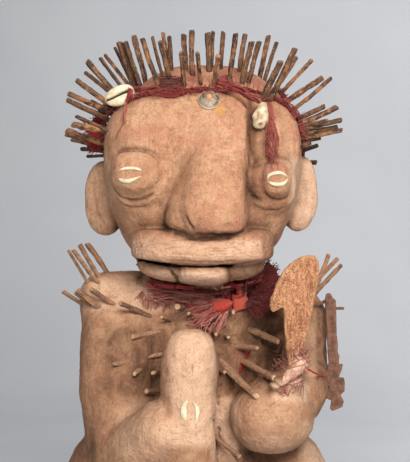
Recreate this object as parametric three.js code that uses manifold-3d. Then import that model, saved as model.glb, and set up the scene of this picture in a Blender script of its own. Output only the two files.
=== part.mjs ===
// Carved wooden figure with pegs, cowries, a flat axe and a hung key.
// Millimetres, +Z up, the figure looks towards -Y. Origin: centre of the base's underside.
import * as THREE from 'three';
import { mergeVertices } from 'three/addons/utils/BufferGeometryUtils.js';
import Module from 'manifold-3d';

const wasm = await Module();
wasm.setup();

// ------------------------------------------------------------------ driving dimensions
const BASE_WIDTH = 224, BASE_DEPTH = 200, BASE_HEIGHT = 20;   // low oval base
const HEAD_RADIUS = [89, 88, 84];                             // cranium, half sizes
const HEAD_HEIGHT = 408;                                      // centre of the cranium
const EYE_LEFT_RADIUS = 30, EYE_RIGHT_RADIUS = 25;            // round eye mounds
const MOUTH_HEIGHT = 300.6, MOUTH_OPENING = 5;                // open slit between the lips
const CHEST_RADIUS = [84, 54, 82], CHEST_HEIGHT = 212;
const POST_RADIUS = 25.5, POST_TOP_RADIUS = 24.5, POST_TOP = 212; // upright post held in front
const BAND_RADIUS = 4.6, BAND_TILT = 0.62, BAND_FRONT = 461;  // cloth band, its plane's slope and its front height
const NECK_CLOTH_RADIUS = 6.5;
const PEG_DEPTH = 9, PEG_SIDES = 5;                           // how deep a peg is driven, and its facets
const COWRIE = [12.6, 7.6, 6.2];                              // half length, half width, half thickness
const AXE_THICKNESS = 8, KEY_THICKNESS = 4;
const STUD_RADIUS = 9.5, STUD_RISE = 4.5;
const GAP = 0.4;                                              // clearance between touching pieces
const CELL = 4.5, FIGURE_FACETS = 3600, CUT_FACETS = 5700;                         // carving grid, and facets left on the figure
const DX = 4, DY = 14;                                        // from the carving's own middle to the base's centre

// ------------------------------------------------------------------ the carving, as a field of blended forms
const NONE = [0, 0, 0];
const bulge = (op, c, r, k, [n, m] = [2, 2], turn = NONE, bend = 0, waist = 0) => {
  const R = new THREE.Matrix4().makeRotationFromEuler(new THREE.Euler(...turn.map(THREE.MathUtils.degToRad), 'ZYX')).elements;
  return { op, k, c: [c[0] + DX, c[1] + DY, c[2]], r, n, m, R, bend, waist, kind: 0, turned: turn !== NONE };
};
const limb = (op, a, b, ra, rb, k) => ({ op, k, a: [a[0] + DX, a[1] + DY, a[2]], b: [b[0] + DX, b[1] + DY, b[2]], ra, rb, kind: 1 });

function carving() {
  const f = [];
  // head
  f.push(bulge('add', [0, 16, HEAD_HEIGHT], HEAD_RADIUS, 0, [2.4, 2.2]));   // skull
  f.push(bulge('add', [-3, -10, 398], [91.5, 66, 64], 14, [3.4, 3.4]));   // upper face
  f.push(bulge('add', [-3, -6, 345], [77, 68, 46], 20, [3, 2.6]));   // cheeks
  f.push(bulge('add', [-2, -56, 408], [72, 24, 15], 14, [2.6, 2.2]));   // brow
  f.push(bulge('add', [75, -46, 412], [10, 16, 26], 7, [2.4, 2.4], [0, 0, 22]));   // right temple
  f.push(bulge('sub', [46.5, -84, 410], [11, 19, 49], 2, [3.2, 3.2], [0, 2, -10]));   // recess beside the forehead panel
  // eyes: two tiers and a blunt drum
  f.push(bulge('add', [-57, -57, 377.5], [EYE_LEFT_RADIUS, 24, 26], 7, [2.3, 2.3], [0, 0, -10]));
  f.push(bulge('add', [-60.5, -66, 384.5], [23.5, 25, 20], 1.6, [2.3, 2.6], [4, 0, -14]));
  f.push(bulge('add', [-63, -76, 383], [19, 17.5, 16], 7, [2.2, 2.5], [0, 0, -15]));
  f.push(bulge('add', [58, -56, 374], [EYE_RIGHT_RADIUS, 25, 25.5], 7, [2.3, 2.3], [0, 0, 10]));
  f.push(bulge('add', [57, -64, 375.5], [21.5, 22, 19], 2, [2.2, 2.5], [0, 0, 12]));
  f.push(bulge('add', [61.5, -76, 377.5], [13.5, 20, 15.5], 2.5, [2.5, 2.5], [0, 0, 16]));
  f.push(limb('add', [-1, -60, 408], [-16, -78, 346], 10, 20, 6));   // nose: its sloping left flank, and a tapered wedge with a flat front
  f.push(bulge('add', [8.5, -78, 366], [27, 28, 44], 8, [3.2, 3.4], [-18, 6, 0], 0, 0.16));
  f.push(limb('add', [5, -56, 420], [7.5, -79, 384], 15, 20, 13));
  f.push(bulge('add', [-23.5, -84, 339.5], [11.5, 19, 12.5], 4, [2.4, 2.4]));   // wings
  f.push(bulge('add', [23.5, -84, 344], [12.5, 23, 15], 8, [2.6, 2.5]));
  f.push(bulge('sub', [3, -118, 317.4], [64, 36, 10.5], 2.2, [3, 6], NONE, 0.0022));   // shelf under the nose
  // mouth
  f.push(bulge('add', [-2.5, -52, 317], [65, 52, 16.5], 4, [2.7, 5], NONE, 0.0006));   // upper lip slab
  f.push(bulge('sub', [-68, -80, 295.5], [30, 44, 8.5], 2, [4, 4], [0, 20, 0]));   // the slab's lower corners
  f.push(bulge('sub', [61, -80, 296], [30, 44, 8.5], 2, [4, 4], [0, -20, 0]));
  f.push(bulge('add', [-4, -40, 304], [59, 43, 18.5], 2.5, [2.5, 2.4], NONE, 0.0010));
  f.push(bulge('add', [-1, -46, 299.5], [27, 50.5, 16.5], 2.5, [3.2, 3]));   // middle of the lower lip   # lower jaw
  f.push(bulge('sub', [-46, -76, 300], [24, 26, 2], 1.2, [3, 3]));
  f.push(bulge('sub', [-3, -98, MOUTH_HEIGHT], [78, 36, MOUTH_OPENING / 2], 1.5, [3, 3], NONE, 0.0017));   // mouth
  // ears
  f.push(bulge('add', [-97, 20, 364], [21, 10, 36], 5, [2.2, 2.2], [0, 0, -12]));
  f.push(bulge('sub', [-99, 7, 364], [8, 4.5, 22], 6, [2, 2], [0, 0, -12]));
  f.push(bulge('add', [90, 20, 369], [20, 10, 37], 5, [2.2, 2.2], [0, 0, 12]));
  f.push(bulge('sub', [92, 7, 369], [8, 3.5, 22], 7, [2, 2], [0, 0, 12]));
  f.push(limb('add', [0, 14, 300], [0, 20, 250], 40, 46, 10));   // neck
  // trunk
  f.push(bulge('add', [-2, 20, CHEST_HEIGHT], CHEST_RADIUS, 12, [2.6, 2.4]));
  f.push(bulge('add', [-74, 12, 262], [46, 42, 31], 8, [3.2, 3.2]));   // shoulders
  f.push(bulge('add', [70, 16, 250], [44, 38, 28], 12, [2.6, 2.6]));
  f.push(bulge('add', [2, 10, 150], [62, 50, 64], 14, [2.4, 2.2]));
  f.push(limb('add', [12, -36, 196], [20, -30, 108], 13, 22, 10));
  f.push(bulge('add', [0, 32, 70], [76, 58, 48], 14, [2.4, 2.4]));
  // arms
  f.push(bulge('add', [-82, -10, 202], [36, 40, 60], 7, [2.8, 3.8]));
  f.push(bulge('add', [-74, -28, 140], [36, 40, 40], 14, [2.2, 2.2]));
  f.push(limb('add', [-66, -54, 118], [-34, -86, 154], 38, 30, 4));
  f.push(bulge('add', [92, 6, 212], [24, 32, 62], 8, [2.6, 2.8]));
  f.push(bulge('add', [86, -26, 188], [28, 40, 28], 14, [2.2, 2.2]));
  f.push(bulge('add', [61, -54, 163], [38, 48, 33], 12, [2.2, 2.2]));
  f.push(limb('add', [64, -66, 180], [76, -80, 206], 25, 13, 9));
  f.push(limb('add', [63, -94, 199], [88, -86, 216], 7, 5, 4));
  f.push(limb('add', [-19, -90, 24], [-14.5, -90, POST_TOP], POST_RADIUS, POST_TOP_RADIUS, 5));   // post
  f.push(bulge('add', [-13.5, -90, 214], [23.5, 23, 31], 6, [2.3, 2.9]));
  // legs and base
  f.push(limb('add', [-35, 36, 70], [-84, -2, 100], 40, 47, 12));
  f.push(limb('add', [35, 36, 70], [68, -2, 100], 40, 47, 12));
  f.push(limb('add', [-84, -8, 88], [-72, -14, 32], 36, 25, 10));
  f.push(limb('add', [70, -8, 88], [64, -14, 32], 36, 25, 10));
  f.push(bulge('add', [-68, -46, 30], [26, 46, 15], 8, [2.4, 2.4], [0, 0, 8]));
  f.push(bulge('add', [62, -46, 30], [26, 46, 15], 8, [2.4, 2.4], [0, 0, -8]));
  return f;
}

function distance(q, x, y, z) {
  if (q.kind === 1) {                                  // a limb that tapers from ra to rb
    const bx = q.b[0] - q.a[0], by = q.b[1] - q.a[1], bz = q.b[2] - q.a[2];
    const px = x - q.a[0], py = y - q.a[1], pz = z - q.a[2];
    const h = Math.min(1, Math.max(0, (px * bx + py * by + pz * bz) / (bx * bx + by * by + bz * bz)));
    return Math.hypot(px - bx * h, py - by * h, pz - bz * h) - (q.ra + (q.rb - q.ra) * h);
  }
  const dx = x - q.c[0], dy = y - q.c[1], dz = z - q.c[2], R = q.R;   // a bulge with squared shoulders
  let u = R[0] * dx + R[1] * dy + R[2] * dz, v = R[4] * dx + R[5] * dy + R[6] * dz;
  const w = R[8] * dx + R[9] * dy + R[10] * dz - q.bend * u * u, taper = 1 - q.waist * Math.min(1, Math.max(-1, w / q.r[2]));
  u /= taper; v /= taper;
  const { n, m, r } = q;
  const a = Math.abs(u) / r[0] + 1e-6, b = Math.abs(v) / r[1] + 1e-6, c = Math.abs(w) / r[2] + 1e-6;
  const s = a ** n + b ** n, g = s ** (m / n) + c ** m, f = g ** (1 / m), gg = g ** (1 / m - 1);
  const e = s ** (m / n - 1);
  const du = gg * e * a ** (n - 1) / r[0], dv = gg * e * b ** (n - 1) / r[1], dw = gg * c ** (m - 1) / r[2];
  return Math.max((f - 1) / (Math.hypot(du, dv, dw) + 1e-9), -Math.min(...r));
}
const smin = (a, b, k) => { if (k <= 0) return Math.min(a, b); const h = Math.min(1, Math.max(0, 0.5 + 0.5 * (b - a) / k)); return b + (a - b) * h - k * h * (1 - h); };
const blend = (F, d, q) => q.op === 'add' ? smin(F, d, q.k) : -smin(-F, d, q.k);

const FORMS = carving();
const field = (x, y, z) => FORMS.reduce((F, q) => blend(F, distance(q, x, y, z), q), 60);

function reach(q) {
  const pad = q.k + 10;
  if (q.kind === 1) {
    const r = Math.max(q.ra, q.rb) + pad;
    return [0, 1, 2].map(i => [Math.min(q.a[i], q.b[i]) - r, Math.max(q.a[i], q.b[i]) + r]);
  }
  const m = (q.turned ? Math.hypot(...q.r) : 0) * (1 + q.waist);
  const e = [Math.max(q.r[0], m), Math.max(q.r[1], m), Math.max(q.r[2], m) + Math.abs(q.bend) * q.r[0] ** 2];
  return [0, 1, 2].map(i => [q.c[i] - e[i] - pad, q.c[i] + e[i] + pad]);
}

// closed skin of the field: one vertex in every grid cell that the surface crosses
function skin(lo, hi, h) {
  const n = [0, 1, 2].map(i => Math.round((hi[i] - lo[i]) / h) + 1);
  const F = new Float32Array(n[0] * n[1] * n[2]).fill(60);
  const at = (i, j, k) => (i * n[1] + j) * n[2] + k;
  for (const q of FORMS) {
    const b = reach(q).map(([p, s], i) => [Math.max(0, Math.ceil((p - lo[i]) / h)), Math.min(n[i] - 1, Math.floor((s - lo[i]) / h))]);
    for (let i = b[0][0]; i <= b[0][1]; i++) for (let j = b[1][0]; j <= b[1][1]; j++) for (let k = b[2][0]; k <= b[2][1]; k++) {
      const o = at(i, j, k);
      F[o] = blend(F[o], distance(q, lo[0] + i * h, lo[1] + j * h, lo[2] + k * h), q);
    }
  }
  for (let i = 0; i < n[0]; i++) for (let j = 0; j < n[1]; j++) for (let k = 0; k < n[2]; k++) {
    const edge = i === 0 || j === 0 || k === 0 || i === n[0] - 1 || j === n[1] - 1 || k === n[2] - 1;
    if (edge) F[at(i, j, k)] = Math.max(F[at(i, j, k)], 2);
  }
  const id = new Int32Array(F.length).fill(-1), V = [];
  const E = [[0, 1], [2, 3], [4, 5], [6, 7], [0, 2], [1, 3], [4, 6], [5, 7], [0, 4], [1, 5], [2, 6], [3, 7]];
  for (let i = 0; i < n[0] - 1; i++) for (let j = 0; j < n[1] - 1; j++) for (let k = 0; k < n[2] - 1; k++) {
    const f = []; let inside = 0;
    for (let c = 0; c < 8; c++) { f[c] = F[at(i + (c >> 2), j + ((c >> 1) & 1), k + (c & 1))]; if (f[c] < 0) inside++; }
    if (inside === 0 || inside === 8) continue;
    const p = [0, 0, 0]; let m = 0;
    for (const [a, b] of E) if ((f[a] < 0) !== (f[b] < 0)) {
      const t = f[a] / (f[a] - f[b]);
      p[0] += (a >> 2) + t * ((b >> 2) - (a >> 2)); p[1] += ((a >> 1) & 1) + t * (((b >> 1) & 1) - ((a >> 1) & 1)); p[2] += (a & 1) + t * ((b & 1) - (a & 1)); m++;
    }
    id[at(i, j, k)] = V.length;
    V.push([lo[0] + (i + p[0] / m) * h, lo[1] + (j + p[1] / m) * h, lo[2] + (k + p[2] / m) * h]);
  }
  const T = [];
  const quad = (a, b, c, d, flip) => { if (flip) T.push([a, c, b], [a, d, c]); else T.push([a, b, c], [a, c, d]); };
  for (let i = 0; i < n[0] - 1; i++) for (let j = 0; j < n[1] - 1; j++) for (let k = 0; k < n[2] - 1; k++) {
    const s = F[at(i, j, k)] < 0;
    if (j && k && s !== (F[at(i + 1, j, k)] < 0)) quad(id[at(i, j - 1, k - 1)], id[at(i, j, k - 1)], id[at(i, j, k)], id[at(i, j - 1, k)], !s);
    if (i && k && s !== (F[at(i, j + 1, k)] < 0)) quad(id[at(i - 1, j, k - 1)], id[at(i - 1, j, k)], id[at(i, j, k)], id[at(i, j, k - 1)], !s);
    if (i && j && s !== (F[at(i, j, k + 1)] < 0)) quad(id[at(i - 1, j - 1, k)], id[at(i, j - 1, k)], id[at(i, j, k)], id[at(i - 1, j, k)], !s);
  }
  return { V, T };
}

// fewer facets: short edges on flat places are drawn together first, and the shape is kept by its tangent planes
function facet({ V, T }, target) {
  const nv = V.length, Q = new Float64Array(nv * 10), near = Array.from({ length: nv }, () => new Set());
  const live = new Uint8Array(T.length).fill(1), gone = new Uint8Array(nv), turn = new Uint32Array(nv);
  const cross = (p, q, r) => {
    const ax = q[0] - p[0], ay = q[1] - p[1], az = q[2] - p[2], bx = r[0] - p[0], by = r[1] - p[1], bz = r[2] - p[2];
    return [ay * bz - az * by, az * bx - ax * bz, ax * by - ay * bx];
  };
  const longest = p => Math.max(...[0, 1, 2].map(i => Math.hypot(...[0, 1, 2].map(s => p[i][s] - p[(i + 1) % 3][s]))));
  T.forEach((t, i) => {
    const nrm = cross(V[t[0]], V[t[1]], V[t[2]]), L = Math.hypot(...nrm) || 1e-12;
    const [a, b, c] = nrm.map(v => v / L), d = -(a * V[t[0]][0] + b * V[t[0]][1] + c * V[t[0]][2]), w = L / 2;
    const q = [a * a, a * b, a * c, a * d, b * b, b * c, b * d, c * c, c * d, d * d];
    for (const v of t) { near[v].add(i); for (let s = 0; s < 10; s++) Q[v * 10 + s] += q[s] * w; }
  });
  const place = (a, b) => {
    const q = []; for (let s = 0; s < 10; s++) q[s] = Q[a * 10 + s] + Q[b * 10 + s];
    const mid = [0, 1, 2].map(i => (V[a][i] + V[b][i]) / 2), e = 1e-3 * (q[0] + q[4] + q[7]) + 1e-9;
    const A = [q[0] + e, q[1], q[2], q[4] + e, q[5], q[7] + e], B = [e * mid[0] - q[3], e * mid[1] - q[6], e * mid[2] - q[8]];
    const c0 = A[3] * A[5] - A[4] * A[4], c1 = A[2] * A[4] - A[1] * A[5], c2 = A[1] * A[4] - A[2] * A[3];
    const det = A[0] * c0 + A[1] * c1 + A[2] * c2;
    let p = mid;
    if (Math.abs(det) > 1e-12) {
      const d1 = A[0] * A[5] - A[2] * A[2], d2 = A[1] * A[2] - A[0] * A[4], d3 = A[0] * A[3] - A[1] * A[1];
      p = [(c0 * B[0] + c1 * B[1] + c2 * B[2]) / det, (c1 * B[0] + d1 * B[1] + d2 * B[2]) / det, (c2 * B[0] + d2 * B[1] + d3 * B[2]) / det];
      const len = Math.hypot(...[0, 1, 2].map(i => V[a][i] - V[b][i]));
      if (Math.hypot(...[0, 1, 2].map(i => p[i] - mid[i])) > len) p = mid;
    }
    const [x, y, z] = p;
    const cost = q[0] * x * x + 2 * q[1] * x * y + 2 * q[2] * x * z + 2 * q[3] * x + q[4] * y * y + 2 * q[5] * y * z + 2 * q[6] * y + q[7] * z * z + 2 * q[8] * z + q[9];
    const l2 = [0, 1, 2].reduce((s, i) => s + (V[a][i] - V[b][i]) ** 2, 0);
    return { p, cost: Math.max(cost, 0) + 1e-4 * l2 * l2 };
  };
  const heap = [];
  const push = it => { let i = heap.push(it) - 1; while (i > 0) { const j = (i - 1) >> 1; if (heap[j].cost <= it.cost) break; heap[i] = heap[j]; i = j; } heap[i] = it; };
  const pop = () => {
    const top = heap[0], it = heap.pop();
    if (heap.length) { let i = 0; for (;;) { let j = 2 * i + 1; if (j >= heap.length) break; if (j + 1 < heap.length && heap[j + 1].cost < heap[j].cost) j++; if (heap[j].cost >= it.cost) break; heap[i] = heap[j]; i = j; } heap[i] = it; }
    return top;
  };
  const edge = (a, b) => { const { p, cost } = place(a, b); push({ a, b, p, cost, ta: turn[a], tb: turn[b] }); };
  const ring = v => { const s = new Set(); for (const t of near[v]) for (const u of T[t]) if (u !== v) s.add(u); return s; };
  for (let v = 0; v < nv; v++) for (const u of ring(v)) if (u > v) edge(v, u);
  let count = T.length;
  while (count > target && heap.length) {
    const { a, b, p, ta, tb } = pop();
    if (gone[a] || gone[b] || turn[a] !== ta || turn[b] !== tb) continue;
    const ra = ring(a), rb = ring(b); let common = 0; for (const u of ra) if (rb.has(u)) common++;
    if (common !== 2 || ra.size + rb.size < 7 || ra.size + rb.size > 20) continue;
    let ok = true;
    for (const v of [a, b]) {
      for (const t of near[v]) {
        const tr = T[t]; if (tr.includes(a) && tr.includes(b)) continue;
        const old = cross(V[tr[0]], V[tr[1]], V[tr[2]]), pts = tr.map(u => u === v ? p : V[u]), nw = cross(...pts);
        const lo = Math.hypot(...old), ln = Math.hypot(...nw), long = longest(pts), was = longest(tr.map(u => V[u]));
        const thin = ln / (long * long), thinner = thin < 0.06 && thin < lo / (was * was + 1e-12);
        if (thinner || (lo > 1e-3 * was * was && old[0] * nw[0] + old[1] * nw[1] + old[2] * nw[2] < 0.5 * lo * ln)) { ok = false; break; }
      }
      if (!ok) break;
    }
    if (!ok) continue;
    V[a] = p; gone[b] = 1; for (let s = 0; s < 10; s++) Q[a * 10 + s] += Q[b * 10 + s];
    for (const t of near[b]) {
      if (T[t].includes(a)) { live[t] = 0; count--; for (const u of T[t]) if (u !== b) near[u].delete(t); }
      else { T[t] = T[t].map(u => u === b ? a : u); near[a].add(t); }
    }
    near[b].clear(); turn[a]++;
    for (const u of ring(a)) { turn[u]++; }
    const todo = new Set(); for (const u of ring(a)) { todo.add(a < u ? a + ',' + u : u + ',' + a); for (const w of ring(u)) todo.add(u < w ? u + ',' + w : w + ',' + u); }
    for (const k of todo) { const [x, y] = k.split(',').map(Number); edge(x, y); }
  }
  const name = new Map(), P = [], I = [];
  T.forEach((t, i) => { if (live[i]) for (const v of t) { if (!name.has(v)) { name.set(v, P.length / 3); P.push(...V[v]); } I.push(name.get(v)); } });
  const g = new THREE.BufferGeometry();
  g.setAttribute('position', new THREE.Float32BufferAttribute(P, 3)); g.setIndex(I);
  return g;
}

// ------------------------------------------------------------------ solids: joining and cutting
function solid(geometry, matrix) {
  let g = geometry.clone(); if (matrix) g.applyMatrix4(matrix);
  g.deleteAttribute('normal'); g.deleteAttribute('uv'); g = mergeVertices(g, 1e-3);
  return new wasm.Manifold(new wasm.Mesh({ numProp: 3, vertProperties: new Float32Array(g.attributes.position.array), triVerts: new Uint32Array(g.index.array) }));
}
function back(m) {
  const { vertProperties, triVerts } = m.getMesh();
  const g = new THREE.BufferGeometry();
  g.setAttribute('position', new THREE.BufferAttribute(new Float32Array(vertProperties), 3)); g.setIndex(new THREE.BufferAttribute(new Uint32Array(triVerts), 1));
  return g;
}
// the slivers that a cut leaves are drawn together
function tidy(m, target) {
  const g = back(m), P = g.attributes.position.array, I = g.index.array, V = [], T = [];
  for (let i = 0; i < P.length; i += 3) V.push([P[i], P[i + 1], P[i + 2]]);
  for (let i = 0; i < I.length; i += 3) T.push([I[i], I[i + 1], I[i + 2]]);
  const out = facet({ V, T }, target), Q = out.attributes.position;
  out.computeVertexNormals();
  const M = out.attributes.normal, seen = new Map();
  for (let i = 0; i < Q.count; i++) {                  // where two skins touch in a crease, they are drawn apart
    const key = [Q.getX(i), Q.getY(i), Q.getZ(i)].map(v => v.toFixed(2)).join();
    seen.set(key, [...(seen.get(key) ?? []), i]);
  }
  for (const g of seen.values()) if (g.length > 1) for (const i of g) Q.setXYZ(i, Q.getX(i) - 0.04 * M.getX(i), Q.getY(i) - 0.04 * M.getY(i), Q.getZ(i) - 0.04 * M.getZ(i));
  return out;
}
// only the largest body of a cut piece: chips left by the cut are dropped
const whole = m => m.decompose().sort((p, q) => q.volume() - p.volume())[0];
const V3 = (x, y, z) => new THREE.Vector3(x, y, z);
const here = (x, y, z) => V3(x + DX, y + DY, z);
function aim(at, dir, up = V3(0, 0, 1)) {              // local +Z goes along dir
  const w = dir.clone().normalize(), u = new THREE.Vector3().crossVectors(Math.abs(w.dot(up)) > 0.95 ? V3(1, 0, 0) : up, w).normalize(), v = new THREE.Vector3().crossVectors(w, u);
  return new THREE.Matrix4().makeBasis(u, v, w).setPosition(at);
}
const slope = (p, e = 1) => V3(field(p.x + e, p.y, p.z) - field(p.x - e, p.y, p.z), field(p.x, p.y + e, p.z) - field(p.x, p.y - e, p.z), field(p.x, p.y, p.z + e) - field(p.x, p.y, p.z - e)).normalize();

const group = new THREE.Group();
const WOOD = ['#b98f74', 0.85], PEG = ['#6b4a38', 0.8], RED = ['#8e3238', 0.95], IVORY = ['#e6dcc0', 0.45];
function add(name, geometry, [color, roughness, metalness = 0]) {
  geometry.computeVertexNormals();
  const mesh = new THREE.Mesh(geometry, new THREE.MeshStandardMaterial({ color, roughness, metalness, flatShading: true }));
  mesh.name = name; group.add(mesh); return mesh;
}

// ------------------------------------------------------------------ the figure
const body = facet(skin([-140, -140, 6], [140, 144, 510], CELL), FIGURE_FACETS);
const rim = [[0, 0], [0.955, 0], [0.985, 0.12], [1, 0.4], [0.99, 0.72], [0.955, 0.94], [0.9, 1], [0, 1]].map(([r, z]) => new THREE.Vector2(r * BASE_WIDTH / 2, z * BASE_HEIGHT));
const plinth = new THREE.LatheGeometry(rim, 30).rotateX(Math.PI / 2).scale(1, BASE_DEPTH / BASE_WIDTH, 1);
let figure = solid(body).add(solid(plinth));

// ------------------------------------------------------------------ pegs: foot on the wood, tip, radius at the foot
const PEGS = [
  ['head_peg_left_1', [-88.8, -21.8, 464.9], [-110.0, -19.8, 491.0], 2.4],
  ['head_peg_left_2', [-93.1, -27.9, 452.8], [-118.9, -27.9, 471.9], 2.6],
  ['head_peg_left_3', [-95.5, -30.3, 445.2], [-126.8, -24.3, 460.3], 2.3],
  ['head_peg_left_4', [-98.7, -31.1, 439.2], [-126.9, -37.1, 453.1], 2.5],
  ['head_peg_left_5', [-107.4, -43.8, 426.9], [-120.8, -47.8, 429.6], 2.3],
  ['head_peg_left_6', [-104.8, -29.7, 416.8], [-128.2, -25.7, 425.8], 2.4],
  ['head_peg_left_7', [-96.1, -28.0, 402.2], [-111.0, -10.0, 402.8], 1.7],
  ['head_peg_top_1', [-81.4, -14.0, 471.5], [-98.8, -12.0, 495.2], 2.0],
  ['head_peg_top_2', [-67.9, -5.2, 473.3], [-80.5, -13.2, 509.1], 3.1],
  ['head_peg_top_3', [-61.6, -11.5, 469.2], [-74.2, -21.5, 508.6], 2.5],
  ['head_peg_top_4', [-58.7, -3.6, 480.6], [-67.6, 0.4, 517.5], 2.6],
  ['head_peg_top_5', [-43.1, -46.3, 463.9], [-56.6, -56.3, 506.3], 2.6],
  ['head_peg_top_6', [-33.0, -37.0, 473.3], [-41.1, -45.0, 505.3], 2.8],
  ['head_peg_top_7', [-31.5, -21.0, 482.2], [-33.5, -19.0, 513.8], 2.3],
  ['head_peg_top_8', [-18.5, -51.8, 465.1], [-21.6, -69.8, 491.9], 2.1],
  ['head_peg_top_9', [-18.2, -26.7, 482.4], [-20.0, -23.7, 515.1], 2.3],
  ['head_peg_top_10', [-11.2, -39.0, 476.2], [-12.2, -39.0, 516.2], 2.5],
  ['head_peg_top_11', [-3.7, -52.8, 465.7], [-6.8, -70.8, 491.6], 1.9],
  ['head_peg_upper_1', [4.1, -30.5, 481.5], [2.5, -27.5, 516.0], 2.6],
  ['head_peg_upper_2', [14.4, -23.9, 484.2], [17.0, -21.9, 517.6], 2.5],
  ['head_peg_upper_3', [8.6, -54.6, 464.0], [11.8, -72.6, 488.2], 2.6],
  ['head_peg_upper_4', [22.1, -52.8, 464.2], [27.7, -60.8, 509.9], 2.6],
  ['head_peg_upper_5', [32.1, -21.9, 481.7], [37.8, -17.9, 516.3], 2.3],
  ['head_peg_upper_6', [34.0, -44.4, 467.7], [42.7, -50.4, 504.3], 2.3],
  ['head_peg_upper_7', [52.4, -3.3, 480.7], [60.4, -1.3, 517.3], 2.6],
  ['head_peg_upper_8', [58.2, -53.6, 451.1], [81.3, -63.6, 495.8], 3.0],
  ['head_peg_right_1', [75.0, -6.8, 465.6], [101.3, -4.8, 494.0], 2.2],
  ['head_peg_right_2', [80.6, -9.2, 456.6], [110.6, -9.2, 476.9], 2.5],
  ['head_peg_right_3', [87.1, -13.0, 449.5], [119.5, -7.0, 477.0], 2.2],
  ['head_peg_right_4', [91.7, -52.0, 431.7], [120.1, -48.0, 444.9], 2.3],
  ['head_peg_right_5', [91.7, -51.8, 417.7], [124.6, -49.8, 424.2], 2.4],
  ['shoulder_peg_1', [-100.1, -22.2, 283.4], [-122.9, -24.2, 313.7], 2.2],
  ['shoulder_peg_2', [-93.2, -1.3, 292.1], [-112.1, -1.3, 319.2], 2.2],
  ['shoulder_peg_3', [-115.0, -16.6, 262.3], [-133.7, -12.6, 274.3], 1.9],
  ['shoulder_peg_4', [-97.4, -30.2, 260.9], [-117.3, -36.2, 276.8], 2.3],
  ['shoulder_peg_5', [-54.9, -30.9, 254.3], [-76.6, -54.9, 265.7], 2.5],
  ['shoulder_peg_6', [108.8, 9.0, 281.0], [119.2, 15.0, 308.2], 2.2],
  ['chest_peg_left_1', [-19.6, -27.4, 259.3], [-25.2, -47.4, 262.2], 2.6],
  ['chest_peg_left_2', [-47.8, -31.7, 215.9], [-82.3, -61.7, 211.6], 2.0],
  ['chest_peg_left_3', [-42.4, -30.1, 200.8], [-47.2, -46.1, 201.7], 2.8],
  ['chest_peg_right_1', [43.0, -27.5, 239.0], [66.0, -49.5, 230.9], 2.9],
  ['chest_peg_right_2', [30.7, -31.3, 224.5], [47.1, -51.3, 224.8], 2.9],
  ['chest_peg_right_3', [38.2, -30.1, 208.8], [62.5, -56.1, 198.4], 2.6],
  ['key_peg_1', [101.1, -17.5, 260.5], [119.2, -15.5, 268.2], 1.8],
  ['head_peg_back_1', [56.1, 74.9, 369.2], [74.9, 97.2, 379.6], 2.4],
  ['head_peg_back_2', [-2.7, 86.3, 360.8], [-3.8, 116.3, 368.7], 2.4],
  ['head_peg_back_3', [-58.8, 73.3, 370.3], [-78.3, 94.9, 381.0], 2.4],
];
function pegSolid([, foot, tip, r], grow = 0) {
  const a = here(...foot), b = here(...tip), d = b.clone().sub(a), L = d.length(); d.normalize();
  const root = a.clone().addScaledVector(d, -PEG_DEPTH - grow), long = L + PEG_DEPTH + 2 * grow + (grow ? 6 : 0);
  const g = new THREE.CylinderGeometry(r * 0.86 + grow, r + grow, long, PEG_SIDES).rotateX(Math.PI / 2).translate(0, 0, long / 2);
  return g.applyMatrix4(aim(root, d));
}
const pegCuts = PEGS.map(p => solid(pegSolid(p, GAP)));
for (const p of PEGS) add(p[0], pegSolid(p), PEG);
for (const c of pegCuts) figure = figure.subtract(c);
const proud = body.clone(); proud.computeVertexNormals(); // the carving's skin moved out by the gap
for (let i = 0, P = proud.attributes.position, N = proud.attributes.normal; i < P.count; i++) P.setXYZ(i, P.getX(i) + N.getX(i) * GAP, P.getY(i) + N.getY(i) * GAP, P.getZ(i) + N.getZ(i) * GAP);
const taken = [solid(proud), ...pegCuts];             // the room that other pieces take
const clear = m => { for (const c of taken) m = m.subtract(c); return whole(m); };

// ------------------------------------------------------------------ shells, stud
const ball = (r, w = 10, h = 7) => new THREE.SphereGeometry(1, w, h).scale(...r);
const grown = r => r.map(v => v + GAP);
function inlay(name, at, face, roll, r, look) {        // let into the wood: the figure is cut around it
  const m = aim(here(...at), V3(...face)).multiply(new THREE.Matrix4().makeRotationZ(roll));
  add(name, ball(r).applyMatrix4(m), look);
  figure = figure.subtract(solid(ball(grown(r)).applyMatrix4(m)));
}
inlay('eye_cowrie_left', [-66.5, -91.2, 381.3], [-0.22, -0.97, -0.06], THREE.MathUtils.degToRad(-4), COWRIE, IVORY);
inlay('eye_cowrie_right', [63.7, -93.5, 376.0], [0.2, -0.98, -0.04], THREE.MathUtils.degToRad(3), COWRIE.map(v => v * 0.9), IVORY);
inlay('post_cowrie', [-13.0, -111.7, 175.5], [-0.03, -1, 0.02], THREE.MathUtils.degToRad(88), [COWRIE[0], COWRIE[1] * 1.1, COWRIE[2]], IVORY);
{                                                      // domed stud with a boss, its shank let into the forehead
  const m = aim(here(3.1, -67.2, 450.2), V3(0.00, -0.82, 0.57));
  const turned = (pts, k = 10) => new THREE.LatheGeometry(pts.map(([r, z]) => new THREE.Vector2(r, z)), k).rotateX(Math.PI / 2).applyMatrix4(m);
  const R = STUD_RADIUS, H = STUD_RISE;
  add('forehead_stud', turned([[0, -8], [2.6, -8], [2.6, -1.6], [R, -1.6], [R, 0.4], [R * 0.8, H * 0.55], [R * 0.44, H * 0.85], [R * 0.4, H * 1.2], [R * 0.2, H * 1.4], [0, H * 1.42]]), ['#7d7768', 0.5, 0.3]);
  figure = figure.subtract(solid(turned([[0, -8 - GAP], [2.6 + GAP, -8 - GAP], [2.6 + GAP, -1.6 - GAP], [R + GAP, -1.6 - GAP], [R + GAP, H * 3], [0, H * 3]])));
}
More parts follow.
